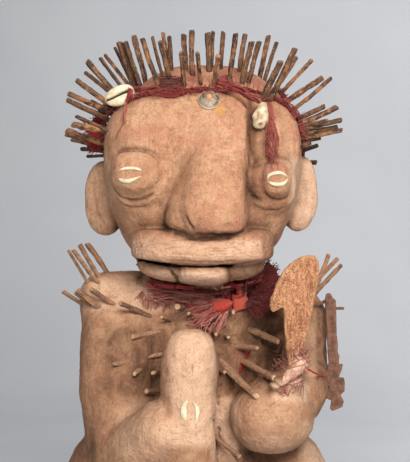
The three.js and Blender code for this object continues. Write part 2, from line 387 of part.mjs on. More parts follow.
function hung(name, x, z, roll, r, look, y0 = -120) {  // hangs just in front of the wood
  let y = y0; while (field(x + DX, y + DY, z) > r[2] + 1.2 && y < 60) y += 0.25;
  const at = here(x, y, z), m = aim(at, slope(at)).multiply(new THREE.Matrix4().makeRotationZ(roll));
  add(name, back(clear(solid(ball(r).applyMatrix4(m)))), look);
  taken.push(solid(ball(grown(r)).applyMatrix4(m)));
}
hung('hanging_cowrie', -79.0, 457.3, THREE.MathUtils.degToRad(20), [15, 10, 7.5], IVORY);
hung('hanging_shell', 49.8, 436.0, THREE.MathUtils.degToRad(82), [11.5, 6.6, 3.4], IVORY);

// ------------------------------------------------------------------ band and neck cloth: tubes that follow the wood
function around(centre, side, front, r, N, gap) {      // a ring that keeps clear of the wood all round its section
  const pts = [];
  for (let i = 0; i < N; i++) {
    const t = 2 * Math.PI * i / N, d = side.clone().multiplyScalar(Math.cos(t)).addScaledVector(front, Math.sin(t)), up = new THREE.Vector3().crossVectors(side, front);
    let s = 10;
    const free = () => {
      const c = centre.clone().addScaledVector(d, s);
      for (let k = 0; k < 8; k++) { const a = 2 * Math.PI * k / 8, p = c.clone().addScaledVector(d, r * Math.cos(a)).addScaledVector(up, r * Math.sin(a)); if (field(p.x, p.y, p.z) < gap) return false; }
      return field(c.x, c.y, c.z) > r;
    };
    while (!free() && s < 200) s += 0.5;
    pts.push(s);
  }
  const smooth = pts.map((s, i) => Math.max(s, 0.25 * pts[(i + N - 1) % N] + 0.5 * s + 0.25 * pts[(i + 1) % N]));
  return smooth.map((s, i) => { const t = 2 * Math.PI * i / N; return centre.clone().addScaledVector(side, s * Math.cos(t)).addScaledVector(front, s * Math.sin(t)); });
}
const tubeRing = (pts, r, n, k) => new THREE.TubeGeometry(new THREE.CatmullRomCurve3(pts, true), n, r, k, true);
{
  const c = here(0, 8, BAND_FRONT - BAND_TILT * 70), front = V3(0, -1, BAND_TILT).normalize();
  const ring = around(c, V3(1, 0, 0), front, BAND_RADIUS, 44, 1.0);
  add('head_band', back(clear(solid(tubeRing(ring, BAND_RADIUS, 40, 6)))), RED);
}
function draped(points, r, N, gap) {                   // a ring through these points, laid on the wood
  const curve = new THREE.CatmullRomCurve3(points.map(p => here(...p)), true);
  let ring = Array.from({ length: N }, (_, i) => curve.getPoint(i / N));
  for (let n = 0; n < 40; n++) {
    for (const p of ring) { const f = field(p.x, p.y, p.z); p.addScaledVector(slope(p), (r + gap - f) * (f < r + gap ? 0.7 : 0.15)); }
    if (n < 32) ring = ring.map((p, i) => p.clone().lerp(ring[(i + 1) % N].clone().add(ring[(i + N - 1) % N]).multiplyScalar(0.5), 0.3));
  }
  return ring;
}
{
  const ring = draped([[0, 62, 300], [-27, 56, 300], [-45, 40, 301], [-53, 17, 299.5], [-56, -8, 294], [-54, -31, 283], [-46, -45, 272.5], [-24, -49, 268],
    [0, -50, 264.5], [24, -49, 266.5], [46, -44, 275], [57, -27, 286], [58, 0, 292], [54, 24, 296], [43, 43, 298], [25, 56, 299]], NECK_CLOTH_RADIUS, 40, 0.8);
  let cloth = solid(tubeRing(ring, NECK_CLOTH_RADIUS, 30, 6));
  const by = x => ring.filter(p => p.y < 0).reduce((q, p) => Math.abs(p.x - x - DX) < Math.abs(q.x - x - DX) ? p : q);
  const roll = (a, b, r, flat, k = 7) => {              // a soft roll of cloth from a to b
    const d = b.clone().sub(a), L = d.length();
    return new THREE.CapsuleGeometry(r, L, 2, k).rotateX(Math.PI / 2).translate(0, 0, L / 2).scale(1, flat, 1).applyMatrix4(aim(a, d));
  };
  const knot = by(27).clone().add(V3(0, -5, -1)), hem = by(2).clone().add(V3(0, -4, -3)), fan = by(46).clone().add(V3(0, -2, 0));
  cloth = cloth.add(solid(ball([10.5, 8, 11], 9, 6).translate(knot.x, knot.y, knot.z)));
  cloth = cloth.add(solid(roll(hem, hem.clone().add(V3(1, -2, -24)), 8, 0.6)));
  cloth = cloth.add(solid(roll(fan, fan.clone().add(V3(12, -3, 16)), 6, 0.8)));
  add('neck_cloth', back(clear(cloth)), RED);
}

// ------------------------------------------------------------------ axe, its wrap, key
const plate = (outline, thick) => new THREE.ExtrudeGeometry(new THREE.Shape(outline.map(([x, z]) => new THREE.Vector2(x, z))), { depth: thick, bevelEnabled: false, steps: 1 }).translate(0, 0, -thick / 2).rotateX(Math.PI / 2);
{
  const blade = [[89.9, 309.3], [101.8, 309.9], [104.4, 305.4], [103.7, 286.8], [99.8, 267.3], [96.5, 247.9], [91.3, 229.3], [87.7, 224.8], [86.8, 196.5], [79.3, 196.5], [77.1, 224.0], [75.6, 228.4], [74.2, 247.9], [73.6, 264.7], [70.3, 263.5], [65.1, 260.3], [61.1, 266.0], [63.8, 276.6], [69.0, 288.6], [76.9, 300.1], [84.8, 306.7]];
  const axe = plate(blade.slice().reverse(), AXE_THICKNESS).translate(0, -74.0, 0);
  const wrapped = [[0, 0], [7.6, 0], [9.6, 3], [9, 9], [10, 14], [9.2, 20], [10, 26], [8.6, 33], [6.8, 35], [0, 35]];
  const turned = (g = 0) => new THREE.LatheGeometry(wrapped.map(([r, z]) => new THREE.Vector2(r ? r + g : 0, z + (z > 0 ? g : -g))), 12).rotateX(Math.PI / 2).translate(83.3, -74.0, 191.2);
  const slot = plate(blade.slice().reverse(), AXE_THICKNESS + 2 * GAP).translate(0, -74.0, 0).translate(-85.0, 0, -205.0).scale(1.06, 1, 1.006).translate(85.0, 0, 205.0);
  add('axe', axe, ['#a5693c', 0.75]);
  add('grip_wrap', back(whole(solid(turned()).subtract(solid(slot)))), ['#8a6a4c', 0.95]);
  figure = figure.subtract(solid(turned(GAP))).subtract(solid(slot));
}
{
  const bar = [[117.7, 273.8], [121.8, 273.8], [122.1, 267.7], [126.3, 260.7], [126.3, 235.7], [127.7, 231.6], [127.7, 208.2], [132.5, 207.2], [131.2, 199.7], [129.1, 194.1], [133.9, 195.0], [134.7, 181.9], [129.7, 177.5], [133.9, 171.9], [131.9, 166.4], [122.9, 163.1], [120.8, 165.0], [122.9, 173.4], [117.3, 174.7], [116.6, 194.1], [119.4, 208.2], [118.6, 235.7], [117.3, 257.9]];
  const y = -8.0, key = solid(plate(bar.slice().reverse(), KEY_THICKNESS).translate(0, y, 0));
  const top = Math.max(...bar.map(p => p[1])), hook = new THREE.BoxGeometry(4, 12, 3).translate(bar[0][0] + 2, y + 6, top - 1.5);
  const drop = new THREE.BoxGeometry(4, 3, 7).translate(bar[0][0] + 2, y + 10.5, top - 3.5);
  add('hanging_key', back(clear(key.add(solid(hook)).add(solid(drop)))), ['#784b3c', 0.7, 0.4]);
}

add('figure', tidy(whole(figure), CUT_FACETS), WOOD);
export default group;
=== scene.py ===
import math
import bpy
import numpy as np
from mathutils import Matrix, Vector


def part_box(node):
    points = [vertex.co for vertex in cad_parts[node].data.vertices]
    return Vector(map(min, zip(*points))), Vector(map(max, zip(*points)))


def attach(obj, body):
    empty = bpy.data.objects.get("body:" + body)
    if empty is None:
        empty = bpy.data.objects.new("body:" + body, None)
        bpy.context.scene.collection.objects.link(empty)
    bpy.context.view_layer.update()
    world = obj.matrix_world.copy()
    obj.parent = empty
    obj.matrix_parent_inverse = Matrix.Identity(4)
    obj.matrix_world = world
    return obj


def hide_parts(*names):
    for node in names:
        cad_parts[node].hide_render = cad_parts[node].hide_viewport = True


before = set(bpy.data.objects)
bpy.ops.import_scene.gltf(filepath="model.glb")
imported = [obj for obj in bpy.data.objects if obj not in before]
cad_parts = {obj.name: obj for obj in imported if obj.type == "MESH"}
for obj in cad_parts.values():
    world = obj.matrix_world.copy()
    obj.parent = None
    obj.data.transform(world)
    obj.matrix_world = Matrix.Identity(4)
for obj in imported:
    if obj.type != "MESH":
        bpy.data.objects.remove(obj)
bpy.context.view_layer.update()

# Lengths are in millimetres in the carving's own frame: x to the viewer's right, y away from the viewer, z up.
# SHIFT moves it to the part's frame, whose origin is the centre of the base's underside.
SHIFT = np.array([4.0, 14.0, 0.0])
EYE_Y, FOCAL, MID_X, MID_Y, EYE_Z = -1200.0, 1255.6, 205.0, 231.0, 332.0   # the camera, in px of a 410 x 462 picture


def metres(P):
    return (np.asarray(P, float) + SHIFT) * 0.001


def at(px, py, y):
    """the point at depth y that is seen at (px, py)"""
    s = FOCAL / (y - EYE_Y)
    return np.array([(px - MID_X) / s, y, EYE_Z - (py - MID_Y) / s])


def seen(P):
    s = FOCAL / (P[:, 1] - EYE_Y)
    return MID_X + P[:, 0] * s, MID_Y + (EYE_Z - P[:, 2]) * s


# ------------------------------------------------------------------ noise
def lattice(i, j, k, seed):
    h = (i.astype(np.uint32) * np.uint32(374761393) + j.astype(np.uint32) * np.uint32(668265263) + k.astype(np.uint32) * np.uint32(2147483647) + np.uint32(seed * 974711 + 12345))
    h = (h ^ (h >> np.uint32(13))) * np.uint32(1274126177)
    h = (h ^ (h >> np.uint32(16))) * np.uint32(2246822519)
    return (h ^ (h >> np.uint32(15))).astype(np.float32) / np.float32(4294967295.0)


def noise(P, size, seed=0):
    """smooth noise from -1 to 1; size is its grain in mm, a number or one per axis"""
    Q = np.asarray(P, np.float64) / np.asarray(size, float)
    f = np.floor(Q); t = (Q - f).astype(np.float32); f = f.astype(np.int64)
    u = t * t * t * (t * (t * 6 - 15) + 10)
    out = 0
    for a in (0, 1):
        wa = u[:, 0] if a else 1 - u[:, 0]
        for b in (0, 1):
            wb = u[:, 1] if b else 1 - u[:, 1]
            for c in (0, 1):
                wc = u[:, 2] if c else 1 - u[:, 2]
                out = out + wa * wb * wc * lattice(f[:, 0] + a, f[:, 1] + b, f[:, 2] + c, seed)
    return (out * 2 - 1).astype(np.float64)


def turned(deg):
    rx, ry, rz = np.radians(deg)
    cx, sx, cy, sy, cz, sz = np.cos(rx), np.sin(rx), np.cos(ry), np.sin(ry), np.cos(rz), np.sin(rz)
    return np.array([[cz, -sz, 0], [sz, cz, 0], [0, 0, 1]]) @ np.array([[cy, 0, sy], [0, 1, 0], [-sy, 0, cy]]) @ np.array([[1, 0, 0], [0, cx, -sx], [0, sx, cx]])


def unit(v):
    v = np.asarray(v, float)
    return v / (np.linalg.norm(v, axis=-1, keepdims=True) + 1e-12)


# ------------------------------------------------------------------ the carving as a field of blended forms
O3 = (0, 0, 0)


def bulge(op, c, r, k, nm=(2.0, 2.0), rot=O3, bend=0.0, waist=0.0):
    """a rounded form with squared shoulders: centre, half sizes, blend, exponents across and up, turn, bend, taper with height"""
    return dict(t=0, op=op, c=c, r=r, k=k, nm=nm, R=turned(rot).T, bend=bend, waist=waist)


def limb(op, a, b, ra, rb, k):
    return dict(t=1, op=op, a=np.array(a, float), b=np.array(b, float), ra=ra, rb=rb, k=k)


def dist(p, x, y, z):
    if p["t"] == 1:
        a, b = p["a"], p["b"]; d = b - a; L2 = d @ d + 1e-9
        qx, qy, qz = x - a[0], y - a[1], z - a[2]
        h = np.clip((qx * d[0] + qy * d[1] + qz * d[2]) / L2, 0, 1)
        return np.sqrt((qx - d[0] * h) ** 2 + (qy - d[1] * h) ** 2 + (qz - d[2] * h) ** 2) - (p["ra"] + (p["rb"] - p["ra"]) * h)
    R, c, (a, b, e), (n, m) = p["R"], p["c"], p["r"], p["nm"]
    dx, dy, dz = x - c[0], y - c[1], z - c[2]
    u = R[0, 0] * dx + R[0, 1] * dy + R[0, 2] * dz
    v = R[1, 0] * dx + R[1, 1] * dy + R[1, 2] * dz
    w = R[2, 0] * dx + R[2, 1] * dy + R[2, 2] * dz - p["bend"] * u * u
    if p["waist"]:
        s = 1 - p["waist"] * np.clip(w / e, -1, 1)
        u = u / s; v = v / s
    au, bv, cw = np.abs(u) / a + 1e-6, np.abs(v) / b + 1e-6, np.abs(w) / e + 1e-6
    q = au ** n + bv ** n
    g = q ** (m / n) + cw ** m
    f = g ** (1.0 / m)
    gg = g ** (1.0 / m - 1.0) * 1.0
    qe = q ** (m / n - 1.0)
    gr = np.sqrt((gg * qe * au ** (n - 1) / a) ** 2 + (gg * qe * bv ** (n - 1) / b) ** 2 + (gg * cw ** (m - 1) / e) ** 2) + 1e-9
    return np.maximum((f - 1) / gr, -min(p["r"]))


def smin(a, b, k):
    if k <= 0:
        return np.minimum(a, b)
    h = np.clip(0.5 + 0.5 * (b - a) / k, 0, 1)
    return b + (a - b) * h - k * h * (1 - h)


def blended(F, d, p):
    return smin(F, d, p["k"]) if p["op"] == "add" else -smin(-F, d, p["k"])


def carving():
    f = []
    a = f.append
    # head
    a(bulge("add", (0, 16, 408), (89, 88, 84), 0, (2.4, 2.2)))                     # skull
    a(bulge("add", (-3, -10, 398), (91.5, 66, 64), 14, (3.4, 3.4)))                  # upper face
    a(bulge("add", (-3, -6, 345), (77, 68, 46), 20, (3.0, 2.6)))                   # cheeks
    a(bulge("add", (-2, -56, 408), (72, 24, 15), 14, (2.6, 2.2)))                  # brow
    a(bulge("add", (75, -46, 412), (10, 16, 26), 7, (2.4, 2.4), (0, 0, 22)))       # right temple
    a(bulge("sub", (46.5, -84, 410), (11, 19, 49), 2.0, (3.2, 3.2), (0, 2, -10)))    # recess beside the forehead panel
    # eyes: two tiers and a blunt drum
    a(bulge("add", (-57, -57, 377.5), (30, 24, 26), 7, (2.3, 2.3), (0, 0, -10)))
    a(bulge("add", (-60.5, -66, 384.5), (23.5, 25, 20), 1.6, (2.3, 2.6), (4, 0, -14)))
    a(bulge("add", (-63, -76, 383), (19, 17.5, 16), 7, (2.2, 2.5), (0, 0, -15)))
    a(bulge("add", (58, -56, 374), (25, 25, 25.5), 7, (2.3, 2.3), (0, 0, 10)))
    a(bulge("add", (57, -64, 375.5), (21.5, 22, 19), 2.0, (2.2, 2.5), (0, 0, 12)))
    a(bulge("add", (61.5, -76, 377.5), (13.5, 20, 15.5), 2.5, (2.5, 2.5), (0, 0, 16)))
    
    a(limb("add", (-1, -60, 408), (-16, -78, 346), 10, 20, 6))                            # nose: its sloping left flank, and a tapered wedge with a flat front
    a(bulge("add", (8.5, -78, 366), (27, 28, 45), 15, (3.2, 3.4), (-18, 6, 0), 0, 0.16))
    a(limb("add", (5, -56, 420), (7.5, -79, 384), 15, 20, 13))
    a(bulge("add", (-23.5, -84, 339.5), (11.5, 19, 12.5), 4, (2.4, 2.4)))              # wings
    a(bulge("add", (23.5, -84, 344), (12.5, 23, 15), 8, (2.6, 2.5)))
    a(bulge("sub", (3, -118, 317.4), (64, 36, 10.5), 2.2, (3, 6), O3, 0.0022))                 # shelf under the nose
    # mouth
    a(bulge("add", (-2.5, -52, 317), (65, 52, 16.5), 4, (2.7, 5.0), O3, 0.0006))     # upper lip slab
    a(bulge("sub", (1, -110, 326.5), (37, 9.5, 3.0), 3, (2.4, 2.2), O3, 0.0022))    # shadowed groove below the nose
    a(bulge("sub", (-68, -80, 295.5), (30, 44, 8.5), 2, (4, 4), (0, 20, 0)))              # the slab's lower corners
    a(bulge("sub", (61, -80, 296), (30, 44, 8.5), 2, (4, 4), (0, -20, 0)))
    a(bulge("add", (-4, -40, 303.5), (59, 43, 18.5), 2.5, (2.8, 3.2), O3, 0.0006))
    a(bulge("add", (-1, -46, 299.5), (27, 50.5, 16.5), 2.5, (3.2, 3.0)))             # middle of the lower lip   # lower jaw
    a(bulge("sub", (-50, -76, 305), (20, 26, 1.0), 1.0, (3, 3), (0, 9, 0)))
    a(bulge("sub", (-3, -104, 300.6), (78, 26, 0.8), 1.0, (3, 3.0), O3, 0.0017))      # mouth
    # ears
    a(bulge("add", (-97, 20, 364), (21, 10, 36), 5, (2.2, 2.2), (0, 0, -12)))
    a(bulge("sub", (-99, 7, 364), (8, 4.5, 22), 6, (2, 2), (0, 0, -12)))
    a(bulge("add", (90, 20, 369), (20, 10, 37), 5, (2.2, 2.2), (0, 0, 12)))
    a(bulge("sub", (92, 7, 369), (8, 3.5, 22), 7, (2, 2), (0, 0, 12)))
    a(limb("add", (0, 14, 300), (0, 20, 250), 40, 46, 10))                         # neck
    # trunk
    a(bulge("add", (-2, 20, 212), (84, 54, 82), 12, (2.6, 2.4)))
    a(bulge("add", (-74, 12, 262), (46, 42, 31), 8, (3.2, 3.2)))                   # shoulders
    a(bulge("add", (70, 16, 250), (44, 38, 28), 12, (2.6, 2.6)))
    a(bulge("add", (2, 10, 150), (62, 50, 64), 14, (2.4, 2.2)))
    a(limb("add", (12, -36, 196), (20, -30, 108), 13, 22, 10))
    a(bulge("add", (0, 32, 70), (76, 58, 48), 14, (2.4, 2.4)))
    # arms
    a(bulge("add", (-82, -10, 202), (36, 40, 60), 7, (2.8, 3.8)))
    a(bulge("add", (-74, -28, 140), (36, 40, 40), 14, (2.2, 2.2)))
    a(limb("add", (-66, -54, 118), (-34, -86, 154), 38, 30, 4))
    a(bulge("add", (92, 6, 212), (24, 32, 62), 8, (2.6, 2.8)))
    a(bulge("add", (86, -26, 188), (28, 40, 28), 14, (2.2, 2.2)))
    a(bulge("add", (61, -54, 163), (38, 48, 33), 12, (2.2, 2.2)))
    a(limb("add", (64, -66, 180), (76, -80, 206), 25, 13, 9))
    a(limb("add", (63, -94, 199), (88, -86, 216), 7, 5, 4))
    a(limb("add", (-19, -90, 24), (-14.5, -90, 212), 25.5, 24.5, 5))               # post
    a(bulge("add", (-13.5, -90, 214), (23.5, 23, 31), 6, (2.3, 2.9)))
    # legs and base
    a(limb("add", (-35, 36, 70), (-84, -2, 100), 40, 47, 12))
    a(limb("add", (35, 36, 70), (68, -2, 100), 40, 47, 12))
    a(limb("add", (-84, -8, 88), (-72, -14, 32), 36, 25, 10))
    a(limb("add", (70, -8, 88), (64, -14, 32), 36, 25, 10))
    a(bulge("add", (-68, -46, 30), (26, 46, 15), 8, (2.4, 2.4), (0, 0, 8)))
    a(bulge("add", (62, -46, 30), (26, 46, 15), 8, (2.4, 2.4), (0, 0, -8)))
    a(bulge("add", (-4, -14, 10), (112, 100, 10), 4, (2.3, 8)))
    return f


FORMS = carving()


def field(P):
    P = np.atleast_2d(np.asarray(P, float))
    F = np.full(len(P), 60.0)
    for p in FORMS:
        F = blended(F, dist(p, P[:, 0], P[:, 1], P[:, 2]), p)
    return F


def slope(P, e=0.8):
    P = np.atleast_2d(np.asarray(P, float))
    return unit(np.stack([field(P + d) - field(P - d) for d in np.eye(3) * e], 1))


def reach(p, pad):
    if p["t"] == 1:
        r = max(p["ra"], p["rb"]) + pad
        return np.minimum(p["a"], p["b"]) - r, np.maximum(p["a"], p["b"]) + r
    e = np.array(p["r"], float) * (1 + abs(p["waist"])); e[2] += abs(p["bend"]) * p["r"][0] ** 2
    e = np.abs(p["R"].T) @ e
    return np.array(p["c"]) - e - pad, np.array(p["c"]) + e + pad


def grid_field(xs, ys, zs):
    F = np.full((len(xs), len(ys), len(zs)), 60.0, np.float32)
    for p in FORMS:
        lo, hi = reach(p, p["k"] + 9.0)
        s = [slice(np.searchsorted(v, l), np.searchsorted(v, h)) for v, l, h in zip((xs, ys, zs), lo, hi)]
        if any(q.stop <= q.start for q in s):
            continue
        d = dist(p, xs[s[0], None, None].astype(np.float32), ys[None, s[1], None].astype(np.float32), zs[None, None, s[2]].astype(np.float32))
        F[s[0], s[1], s[2]] = blended(F[s[0], s[1], s[2]], d, p)
    return F


def skin(F, xs, ys, zs):
    """closed quads where the field is zero: one vertex in each cell that the surface crosses"""
    S = F < 0
    nx, ny, nz = F.shape
    n = np.zeros((nx - 1, ny - 1, nz - 1), np.uint8)
    for c in range(8):
        i, j, k = c >> 2, (c >> 1) & 1, c & 1
        n += S[i:nx - 1 + i, j:ny - 1 + j, k:nz - 1 + k]
    I, J, K = np.nonzero((n > 0) & (n < 8))
    idx = np.full(n.shape, -1, np.int64); idx[I, J, K] = np.arange(len(I))
    acc, cnt = np.zeros((len(I), 3)), np.zeros(len(I))
    for e0, e1 in ((0, 1), (2, 3), (4, 5), (6, 7), (0, 2), (1, 3), (4, 6), (5, 7), (0, 4), (1, 5), (2, 6), (3, 7)):
        a = (I + (e0 >> 2), J + ((e0 >> 1) & 1), K + (e0 & 1)); b = (I + (e1 >> 2), J + ((e1 >> 1) & 1), K + (e1 & 1))
        fa, fb = F[a].astype(float), F[b].astype(float)
        m = (fa < 0) != (fb < 0)
        t = np.where(m, fa / (fa - fb + 1e-12), 0)[:, None]
        pa = np.stack([xs[a[0]], ys[a[1]], zs[a[2]]], 1); pb = np.stack([xs[b[0]], ys[b[1]], zs[b[2]]], 1)
        acc += np.where(m[:, None], pa + (pb - pa) * t, 0); cnt += m
    quads = []
    m = S[:-1, 1:-1, 1:-1] != S[1:, 1:-1, 1:-1]; i, j, k = np.nonzero(m); j += 1; k += 1
    quads.append((np.stack([idx[i, j - 1, k - 1], idx[i, j, k - 1], idx[i, j, k], idx[i, j - 1, k]], 1), ~S[i, j, k]))
    m = S[1:-1, :-1, 1:-1] != S[1:-1, 1:, 1:-1]; i, j, k = np.nonzero(m); i += 1; k += 1
    quads.append((np.stack([idx[i - 1, j, k - 1], idx[i - 1, j, k], idx[i, j, k], idx[i, j, k - 1]], 1), ~S[i, j, k]))
    m = S[1:-1, 1:-1, :-1] != S[1:-1, 1:-1, 1:]; i, j, k = np.nonzero(m); i += 1; j += 1
    quads.append((np.stack([idx[i - 1, j - 1, k], idx[i, j - 1, k], idx[i, j, k], idx[i - 1, j, k]], 1), ~S[i, j, k]))
    out = []
    for q, flip in quads:
        q[flip] = q[flip][:, ::-1]; out.append(q)
    return acc / np.maximum(cnt, 1)[:, None], np.concatenate(out)


def sample(F, axes, P):
    """trilinear value of a grid at points"""
    w, c = [], []
    for v, x in zip(axes, P.T):
        i = np.clip(np.searchsorted(v, x) - 1, 0, len(v) - 2)
        c.append(i); w.append(np.clip((x - v[i]) / (v[i + 1] - v[i]), 0, 1))
    out = 0
    for a in (0, 1):
        for b in (0, 1):
            for e in (0, 1):
                out = out + (w[0] if a else 1 - w[0]) * (w[1] if b else 1 - w[1]) * (w[2] if e else 1 - w[2]) * F[c[0] + a, c[1] + b, c[2] + e]
    return out


# ------------------------------------------------------------------ mesh helpers
def make(name, V, faces, mat, smooth=True, attrs=None, mm=True):
    me = bpy.data.meshes.new(name)
    V = metres(V) if mm else np.asarray(V, float)
    faces = faces.tolist() if isinstance(faces, np.ndarray) else faces
    me.from_pydata(V.tolist(), [], faces)
    me.update()
    me.polygons.foreach_set("use_smooth", [bool(smooth)] * len(me.polygons))
    for k, v in (attrs or {}).items():
        v = np.asarray(v, np.float32)
        if v.ndim == 2:
            me.attributes.new(k, "FLOAT_VECTOR", "POINT").data.foreach_set("vector", v.ravel()); continue
        at_ = me.attributes.new(k, "FLOAT", "POINT"); at_.data.foreach_set("value", np.asarray(v, np.float32))
    me.materials.append(mat)
    ob = bpy.data.objects.new(name, me)
    bpy.context.scene.collection.objects.link(ob)
    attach(ob, "root")
    return ob


class Batch:
    """several closed shells gathered into one piece"""
    def __init__(self):
        self.V, self.F, self.A, self.n = [], [], {}, 0

    def add(self, V, F, **attrs):
        self.F += [[i + self.n for i in f] for f in F]
        self.V.append(np.asarray(V, float)); self.n += len(V)
        for k, v in attrs.items():
            v = np.asarray(v, float)
            self.A.setdefault(k, []).append(v if v.ndim == 2 else np.broadcast_to(v, (len(V),)))

    def make(self, name, mat, smooth=True):
        return make(name, np.concatenate(self.V), self.F, mat, smooth, {k: np.concatenate(v) for k, v in self.A.items()})


def frames_along(C):
    """tangents and two cross directions that don't spin, along a polyline"""
    C = np.asarray(C, float); T = unit(np.gradient(C, axis=0))
    u = np.cross(T[0], [0.13, 0.31, 0.94]); u = unit(u)
    U = [u]
    for i in range(1, len(C)):
        u = U[-1] - T[i] * (U[-1] @ T[i]); U.append(unit(u))
    U = np.array(U)
    return T, U, np.cross(T, U)


def smooth_path(P, n):
    """n points on a rounded curve through P"""
    P = np.asarray(P, float)
    E = np.concatenate([[2 * P[0] - P[1]], P, [2 * P[-1] - P[-2]]])
    t = np.linspace(0, len(P) - 1 - 1e-9, n); i = t.astype(int); t = (t - i)[:, None]
    a, b, c, d = E[i], E[i + 1], E[i + 2], E[i + 3]
    return 0.5 * (2 * b + (c - a) * t + (2 * a - 5 * b + 4 * c - d) * t * t + (3 * b - a - 3 * c + d) * t ** 3)


def rope(C, R, k=6, closed_ends=True):
    """a closed tube along C with one radius, or one per point, or one per point and side"""
    C = np.asarray(C, float); n = len(C); T, U, W = frames_along(C)
    R = np.asarray(R, float)
    R = np.full((n, k), float(R)) if R.ndim == 0 else (np.repeat(R[:, None], k, 1) if R.ndim == 1 else R)
    a = 2 * np.pi * np.arange(k) / k
    V = C[:, None] + R[:, :, None] * (U[:, None] * np.cos(a)[None, :, None] + W[:, None] * np.sin(a)[None, :, None])
    F = []
    for i in range(n - 1):
        for j in range(k):
            F.append([i * k + j, i * k + (j + 1) % k, (i + 1) * k + (j + 1) % k, (i + 1) * k + j])
    V = V.reshape(-1, 3)
    F.append([j for j in range(k)][::-1]); F.append([(n - 1) * k + j for j in range(k)])
    return V, F


def strip(C, W, N, thick):
    """a thin closed ribbon: rows of points C (m, k, 3) are its face, N its outward normals"""
    m, k = C.shape[:2]
    V = np.concatenate([(C + N * thick / 2).reshape(-1, 3), (C - N * thick / 2).reshape(-1, 3)])
    F = []; o = m * k
    for i in range(m - 1):
        for j in range(k - 1):
            q = [i * k + j, i * k + j + 1, (i + 1) * k + j + 1, (i + 1) * k + j]
            F.append(q); F.append([o + v for v in q[::-1]])
    for i in range(m - 1):
        F.append([i * k, (i + 1) * k, o + (i + 1) * k, o + i * k])
        F.append([(i + 1) * k + k - 1, i * k + k - 1, o + i * k + k - 1, o + (i + 1) * k + k - 1])
    for j in range(k - 1):
        F.append([j + 1, j, o + j, o + j + 1])
        b = (m - 1) * k
        F.append([b + j, b + j + 1, o + b + j + 1, o + b + j])
    return V, F


def rest_on_wood(P, lift, steps=24):
    """slides points along the field's slope until they stand lift above the carving"""
    P = np.array(P, float)
    for _ in range(steps):
        P = P + slope(P) * (lift - field(P))[:, None] * 0.7
    return P


def hit(px, py, y0=-260.0, y1=160.0):
    """where the line of sight through (px, py) meets the carving"""
    eye = np.array([0, EYE_Y, EYE_Z]); r = unit(at(px, py, 0.0) - eye)
    t = np.arange(EYE_Y * -1 + y0, EYE_Y * -1 + y1, 0.4)
    Q = eye + t[:, None] * r / r[1]
    v = np.nonzero(field(Q) < 0)[0]
    return Q[v[0]] if len(v) else Q[np.argmin(field(Q))]


# ------------------------------------------------------------------ materials
def srgb(r, g, b):
    return tuple(((c / 255) / 12.92 if c <= 10 else ((c / 255 + 0.055) / 1.055) ** 2.4) for c in (r, g, b)) + (1.0,)


class Look:
    """a node material, written as a chain of short calls"""
    def __init__(self, name):
        self.m = bpy.data.materials.new(name); self.m.use_nodes = True
        self.t = self.m.node_tree; self.t.nodes.clear()
        self.s = self.node("BsdfPrincipled"); out = self.node("OutputMaterial")
        self.t.links.new(self.s.outputs[0], out.inputs[0])
        self.obj = self.node("TexCoord").outputs["Object"]

    def node(self, kind, **kw):
        n = self.t.nodes.new("ShaderNode" + kind)
        for k, v in kw.items():
            setattr(n, k, v)
        return n

    def put(self, socket, v):
        if isinstance(v, bpy.types.NodeSocket):
            self.t.links.new(v, socket)
        elif v is not None:
            socket.default_value = v

    def attr(self, name, out="Fac"):
        n = self.node("Attribute", attribute_name=name)
        return n.outputs[out]

    def stretch(self, v, s, turn=(0, 0, 0)):
        n = self.node("Mapping"); self.put(n.inputs["Vector"], v); n.inputs["Scale"].default_value = s
        n.inputs["Rotation"].default_value = [math.radians(t) for t in turn]
        return n.outputs[0]

    def noise(self, scale, v=None, detail=3.0, rough=0.55, warp=0.0):
        n = self.node("TexNoise"); self.put(n.inputs["Vector"], v or self.obj)
        n.inputs["Scale"].default_value = scale; n.inputs["Detail"].default_value = detail
        n.inputs["Roughness"].default_value = rough; n.inputs["Distortion"].default_value = warp
        return n.outputs[0]

    def cells(self, scale, v=None, feature="F1", rand=1.0):
        n = self.node("TexVoronoi", feature=feature); self.put(n.inputs["Vector"], v or self.obj)
        n.inputs["Scale"].default_value = scale; n.inputs["Randomness"].default_value = rand
        return n.outputs["Distance"]

    def wave(self, scale, v, way="X", warp=0.0, detail=1.0, wscale=1.0):
        n = self.node("TexWave", wave_type="BANDS", bands_direction=way); self.put(n.inputs["Vector"], v)
        n.inputs["Scale"].default_value = scale; n.inputs["Distortion"].default_value = warp
        n.inputs["Detail"].default_value = detail; n.inputs["Detail Scale"].default_value = wscale
        return n.outputs["Fac"]

    def ease(self, v, lo, hi, a=0.0, b=1.0):
        n = self.node("MapRange", interpolation_type="SMOOTHSTEP"); self.put(n.inputs["Value"], v)
        for i, x in zip(("From Min", "From Max", "To Min", "To Max"), (lo, hi, a, b)):
            n.inputs[i].default_value = x
        return n.outputs[0]

    def math(self, op, a, b=0.0):
        n = self.node("Math", operation=op); self.put(n.inputs[0], a); self.put(n.inputs[1], b)
        return n.outputs[0]

    def mix(self, f, a, b, mode="MIX"):
        n = self.node("Mix", data_type="RGBA", blend_type=mode, clamp_factor=True)
        self.put(n.inputs["Factor"], f); self.put(n.inputs[6], a); self.put(n.inputs[7], b)
        return n.outputs[2]

    def bump(self, h, mm, strength=1.0, after=None):
        n = self.node("Bump"); self.put(n.inputs["Height"], h); n.inputs["Distance"].default_value = mm * 0.001
        n.inputs["Strength"].default_value = strength
        if after is not None:
            self.put(n.inputs["Normal"], after)
        return n.outputs[0]

    def done(self, colour, rough, normal=None, **sockets):
        self.put(self.s.inputs["Base Color"], colour); self.put(self.s.inputs["Roughness"], rough)
        if normal is not None:
            self.put(self.s.inputs["Normal"], normal)
        for k, v in sockets.items():
            self.s.inputs[k.replace("_", " ")].default_value = v
        return self.m


